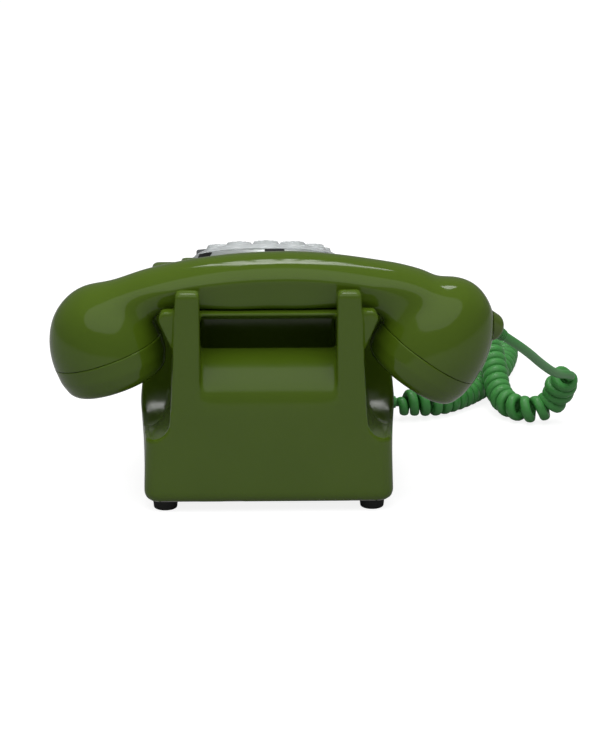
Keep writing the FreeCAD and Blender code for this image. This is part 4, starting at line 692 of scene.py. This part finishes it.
def coil_steps(line):
    """Turns so far, centre, two side directions and radius at each step."""
    whole = (len(line) - 1) * STEP / MM
    headings = [heading_at(line, i) for i in range(len(line))]
    steps, turns, side = [], 0.0, Vector((0, 0, 1))
    for i, (centre, heading) in enumerate(zip(line, headings)):
        here, left = i * STEP / MM, whole - i * STEP / MM
        side = (side - heading * side.dot(heading)).normalized()
        loose = smooth_step(1 - abs(left - LOOSE_AT) / LOOSE_SPAN)
        ease = smooth_step(here / COIL_EASE) * smooth_step(left / COIL_END_EASE)
        radius = (COIL_R + (COIL_TOP_R - COIL_R) * loose) * ease
        hidden = smooth_step((here - HIDDEN_FROM) / HIDDEN_BLEND)
        hidden *= smooth_step((HIDDEN_TO - here) / HIDDEN_BLEND)
        first, last = max(i - BEND_STEPS, 0), min(i + BEND_STEPS, len(line) - 1)
        bend = headings[first].angle(headings[last], 0.0) / ((last - first) * STEP / MM)
        pitch = COIL_PITCH + (HIDDEN_PITCH - COIL_PITCH) * hidden
        pitch /= max(1 - BEND_SHARE * radius * bend, LEAST_SHARE)
        pitch += (EASE_PITCH - COIL_PITCH) * (1 - ease)
        steps.append([turns, centre, side, heading.cross(side), radius * MM])
        turns += STEP / MM / pitch
    print("curls before they are made even:", round(turns, 2))
    for row in steps[:-1]:
        row[0] *= CURLS / steps[-1][0]
    steps[-1][0] = float(CURLS)
    return steps


def wound(steps):
    """The curls' points, a fixed number to each turn, and the way out from the axis at each."""
    points, ways, i = [], [], 0
    for k in range(CURLS * PER_CURL + 1):
        turn = k / PER_CURL
        while i < len(steps) - 2 and steps[i + 1][0] < turn:
            i += 1
        (t0, p, a, b, r), (t1, q, c, d, w) = steps[i], steps[i + 1]
        share = (turn - t0) / (t1 - t0)
        angle = 2 * math.pi * turn
        way = a.lerp(c, share) * math.cos(angle) + b.lerp(d, share) * math.sin(angle)
        points.append(p.lerp(q, share) + way * (r + (w - r) * share))
        ways.append(way)
    return points, ways


axis_line = evenly(smooth_line([spot(p) for p in COIL_AXIS], 24), STEP)
curls, ways = wound(coil_steps(axis_line))
print("coil axis, mm:", round(len(axis_line) * STEP / MM, 1))

# %% [markdown]
# The lead goes on from the last curl to the strain relief on the handset's boss. It is read from
# a NURBS spline of its own, so that it bends as evenly as the rest.
#
# A curly cord is wound hot on a rod, and that flattens its jacket: each curl is a little wider
# along the coil than it is thick. So the cord is a tube in mesh code rather than a bevelled
# curve, with a rounded, flattened section on the curls and a round one on the straight lead.

# %% The whole cord
CURL_WIDE = 2.6
CURL_THICK = 2.15
SECTION_POINTS = 14
SECTION_SQUARE = 0.82
FLATTEN_OVER = 12

lead_way = (spot(BOSS_TO) - spot(BOSS_AT)).normalized()
relief_tip = spot(BOSS_TO) + lead_way * RELIEF_LENGTH
last_way = (curls[-1] - curls[-2]).normalized()
lead = smooth_line([curls[-1], curls[-1] + last_way * LEAD_END, *[spot(p) for p in LEAD_ROUTE],
                    relief_tip + lead_way * LEAD_START, relief_tip], 10)
tail = spot(TAIL_AT)
tail_line = smooth_line([tail, tail.lerp(curls[0], 0.6), curls[0]], 6)
route = [*tail_line[:-1], *curls, *lead[1:]]


def lofted_cord(name, route, ways, first_curl):
    """A tube along the route. Its section is flattened where the curls are."""
    cord = bmesh.new()
    rings, way = [], ways[0]
    for i, place in enumerate(route):
        heading = heading_at(route, i)
        k = i - first_curl
        if 0 <= k < len(ways):
            way = ways[k]
        way = (way - heading * way.dot(heading)).normalized()
        along = heading.cross(way)
        flat = smooth_step(k / FLATTEN_OVER) * smooth_step((len(ways) - 1 - k) / FLATTEN_OVER)
        thick = (CORD_R + (CURL_THICK - CORD_R) * flat) * MM
        wide = (CORD_R + (CURL_WIDE - CORD_R) * flat) * MM
        square = 1 + (SECTION_SQUARE - 1) * flat
        ring = []
        for j in range(SECTION_POINTS):
            angle = 2 * math.pi * j / SECTION_POINTS
            c, d = math.cos(angle), math.sin(angle)
            ring.append(cord.verts.new(place + way * math.copysign(abs(c) ** square, c) * thick
                                       + along * math.copysign(abs(d) ** square, d) * wide))
        rings.append(ring)
    for ring, following in zip(rings, rings[1:]):
        for j in range(SECTION_POINTS):
            k = (j + 1) % SECTION_POINTS
            cord.faces.new((ring[j], ring[k], following[k], following[j]))
    cord.faces.new(list(reversed(rings[0])))
    cord.faces.new(rings[-1])
    bmesh.ops.recalc_face_normals(cord, faces=cord.faces)
    mesh = bpy.data.meshes.new(name)
    cord.to_mesh(mesh)
    cord.free()
    piece = bpy.data.objects.new(name, mesh)
    bpy.context.scene.collection.objects.link(piece)
    return piece


handset_cord = lofted_cord("handset_cord", route, ways, len(tail_line) - 1)
choose(handset_cord)
bpy.ops.object.shade_smooth_by_angle(angle=math.radians(50))
give(handset_cord, cord_pvc)
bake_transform(handset_cord)
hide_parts("curly_cord", "cord_lead")
print("drawn cord, m:", round(sum((b - a).length for a, b in zip(route, route[1:])), 3))

# %% [markdown]
# The plate carries plain printed figures under the finger holes, from 1 to 0. Each is a text
# object made into a thin mesh, laid on the sloping plate and turned upright. The dial's axis is
# read from its joint, so the figures follow the slope.

# %% Figures on the dial
dial_joint = next(j for j in frame["joints"] if j["name"] == "dial_turn")
dial_axis = -Vector(dial_joint["axis"]).normalized()
dial_centre = Vector(dial_joint["pos_m"])
dial_up = (Vector((0, 1, 0)) - dial_axis * dial_axis.y).normalized()
dial_right = dial_up.cross(dial_axis).normalized()
dial_turned = Matrix((dial_right, dial_up, dial_axis)).transposed().to_4x4()
PLATE_TOP_H = 7.1
FIGURE_ORBIT = 28.2
FIGURE_SIZE = 8.37
FIGURE_THICK = 0.06
HOLE_STEP = 30.0

ink = soft_polymer("black_printing_ink", "#0E0E10", "#151517", 0.45, 0.5, 0.05)


def figure(text, angle):
    """One printed figure, centred in its finger hole."""
    bpy.ops.object.text_add()
    mark = bpy.context.object
    mark.data.body = text
    mark.data.size = FIGURE_SIZE * MM
    mark.data.align_x = "CENTER"
    mark.data.align_y = "CENTER"
    mark.data.extrude = FIGURE_THICK / 2 * MM
    choose(mark)
    bpy.ops.object.convert(target="MESH")
    mark = bpy.context.object
    turn = math.radians(angle)
    x, y = FIGURE_ORBIT * MM * math.cos(turn), FIGURE_ORBIT * MM * math.sin(turn)
    mark.data.transform(Matrix.Translation((x, y, (PLATE_TOP_H + FIGURE_THICK / 2) * MM)))
    mark.data.transform(Matrix.Translation(dial_centre) @ dial_turned)
    return mark


marks = [figure(str((i + 1) % 10), HOLE_STEP * (i + 1)) for i in range(10)]
choose(marks[0])
for mark in marks[1:]:
    mark.select_set(True)
bpy.ops.object.join()
figures = bpy.context.object
figures.name = "dial_figures"
give(figures, ink)
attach(figures, "base")
print("figures on the dial:", len(marks))

# %% [markdown]
# The studio's floor and room. The floor is pale and matt, and glows for the camera, so that it is
# white round the telephone and still shows its shadow. The room is white too where the camera
# looks into it or the clear dial lets it through. It lights the telephone dimly, and it is dimmer
# still in reflections, which keeps the glossy plastic deep.

# %% Floor and room
FLOOR_SIZE = 12.0
FLOOR_SEEN = 0.85
FLOOR_MIRRORED = 0.05
FLOOR_THROUGH = 0.8
ROOM_LEVEL = 0.29
MIRRORED_LEVEL = 0.16

bpy.ops.mesh.primitive_plane_add(size=FLOOR_SIZE, location=(0, 0, 0))
floor = bpy.context.object
floor.name = "studio_floor"
floor_paint, floor_tree = new_finish("white_studio_floor")
seen = add_node(floor_tree, "ShaderNodeLightPath")
glow_glossy = add_node(floor_tree, "ShaderNodeMath", {0: seen.outputs["Is Glossy Ray"], 1: FLOOR_MIRRORED},
                       operation="MULTIPLY")
glow_camera = add_node(floor_tree, "ShaderNodeMath", {0: seen.outputs["Is Camera Ray"], 1: FLOOR_SEEN,
                                                      2: glow_glossy.outputs[0]}, operation="MULTIPLY_ADD")
glow_clear = add_node(floor_tree, "ShaderNodeMath", {0: seen.outputs["Is Transmission Ray"],
                                                     1: FLOOR_THROUGH,
                                                     2: glow_camera.outputs[0]}, operation="MULTIPLY_ADD")
matt = add_node(floor_tree, "ShaderNodeBsdfDiffuse", {"Color": linear("#9C9C9C")})
glow = add_node(floor_tree, "ShaderNodeEmission", {"Strength": glow_clear.outputs[0]})
both = add_node(floor_tree, "ShaderNodeAddShader", {0: matt.outputs[0], 1: glow.outputs[0]})
finish_with(floor_tree, both)
floor.data.materials.append(floor_paint)

world = bpy.data.worlds.new("dim_room")
bpy.context.scene.world = world
world.use_nodes = True
world.node_tree.nodes.clear()
room = world.node_tree
ray = add_node(room, "ShaderNodeLightPath")
clear_share = add_node(room, "ShaderNodeMath", {0: ray.outputs["Is Transmission Ray"],
                                                1: ray.outputs["Is Camera Ray"]}, operation="MAXIMUM")
seen_room = add_node(room, "ShaderNodeMapRange", {"Value": ray.outputs["Is Glossy Ray"], "To Min": ROOM_LEVEL,
                                                  "To Max": MIRRORED_LEVEL})
level = add_node(room, "ShaderNodeMapRange", {"Value": clear_share.outputs[0],
                                              "To Min": seen_room.outputs["Result"], "To Max": 1.0})
air = add_node(room, "ShaderNodeBackground", {"Color": linear("#FFFFFF"),
                                              "Strength": level.outputs["Result"]})
add_node(room, "ShaderNodeOutputWorld", {"Surface": air.outputs[0]})
print("floor, m:", FLOOR_SIZE, "room light:", ROOM_LEVEL)

# %% [markdown]
# The glossy handset mirrors the lamps, so their shapes are read from its highlights. The cups
# hold a broad glow with a soft rim: three oval lamps inside one another, each smaller and
# adding to the last, fade outwards as a real softbox does. The top of the grip holds a thin, long
# highlight that is broken into bright panes: a row of small panels on an arc overhead, with gaps
# between them. Last, light that comes down from a white ceiling brightens what faces up, but the
# photograph shows no mirror image of it, so it is hidden from glossy rays.

# %% Lamps
LAMPS_FACE = (0, 60, 60)
REAR_AZIMUTH = 180
SOFTBOX_RISE = 55
SOFTBOX_AWAY = 1.2
SOFTBOX_SIZE = (1.6, 1.2)
SOFTBOX_RINGS = [(1.0, 2.6), (0.8, 1.7), (0.6, 1.0)]
STRIP_PANELS = 7
STRIP_RISE = math.radians(72)
STRIP_FIRST = -11.3
STRIP_STEP = 3.2
STRIP_AWAY = 1.5
STRIP_SIZE = (0.072, 0.5)
STRIP_POWER = 0.55


def softbox(name, azimuth, elevation, distance, wide, high, power):
    """A rectangular lamp that faces the telephone from a direction round it."""
    a, e = math.radians(azimuth), math.radians(elevation)
    way = Vector((math.sin(a) * math.cos(e), -math.cos(a) * math.cos(e), math.sin(e)))
    bpy.ops.object.light_add(type="AREA", location=at(*LAMPS_FACE) + way * distance)
    lamp = bpy.context.object
    lamp.name = name
    lamp.rotation_euler = way.to_track_quat("Z", "Y").to_euler()
    lamp.data.shape = "RECTANGLE"
    lamp.data.size = wide
    lamp.data.size_y = high
    lamp.data.energy = power
    return lamp


for i, (share, power) in enumerate(SOFTBOX_RINGS):
    wide, high = (side * share for side in SOFTBOX_SIZE)
    part = softbox(f"rear_softbox_{i + 1}", REAR_AZIMUTH, SOFTBOX_RISE, SOFTBOX_AWAY, wide, high, power)
    part.data.shape = "ELLIPSE"
for i in range(STRIP_PANELS):
    sideways = math.radians(STRIP_FIRST + i * STRIP_STEP)
    azimuth = math.degrees(math.atan2(math.sin(sideways), math.cos(sideways) * math.cos(STRIP_RISE)))
    elevation = math.degrees(math.asin(math.cos(sideways) * math.sin(STRIP_RISE)))
    softbox(f"strip_panel_{i + 1}", azimuth, elevation, STRIP_AWAY, *STRIP_SIZE, STRIP_POWER)
ceiling = softbox("ceiling_bounce", REAR_AZIMUTH, elevation=75, distance=1.8, wide=2.4, high=2.0, power=21.0)
ceiling.visible_glossy = False
print("lamps:", len(SOFTBOX_RINGS) + STRIP_PANELS + 1)

# %% [markdown]
# Colours render as they are written under the Standard view, so nothing else is changed there.

# %% View
bpy.context.scene.view_settings.view_transform = "Standard"
bpy.context.view_layer.update()
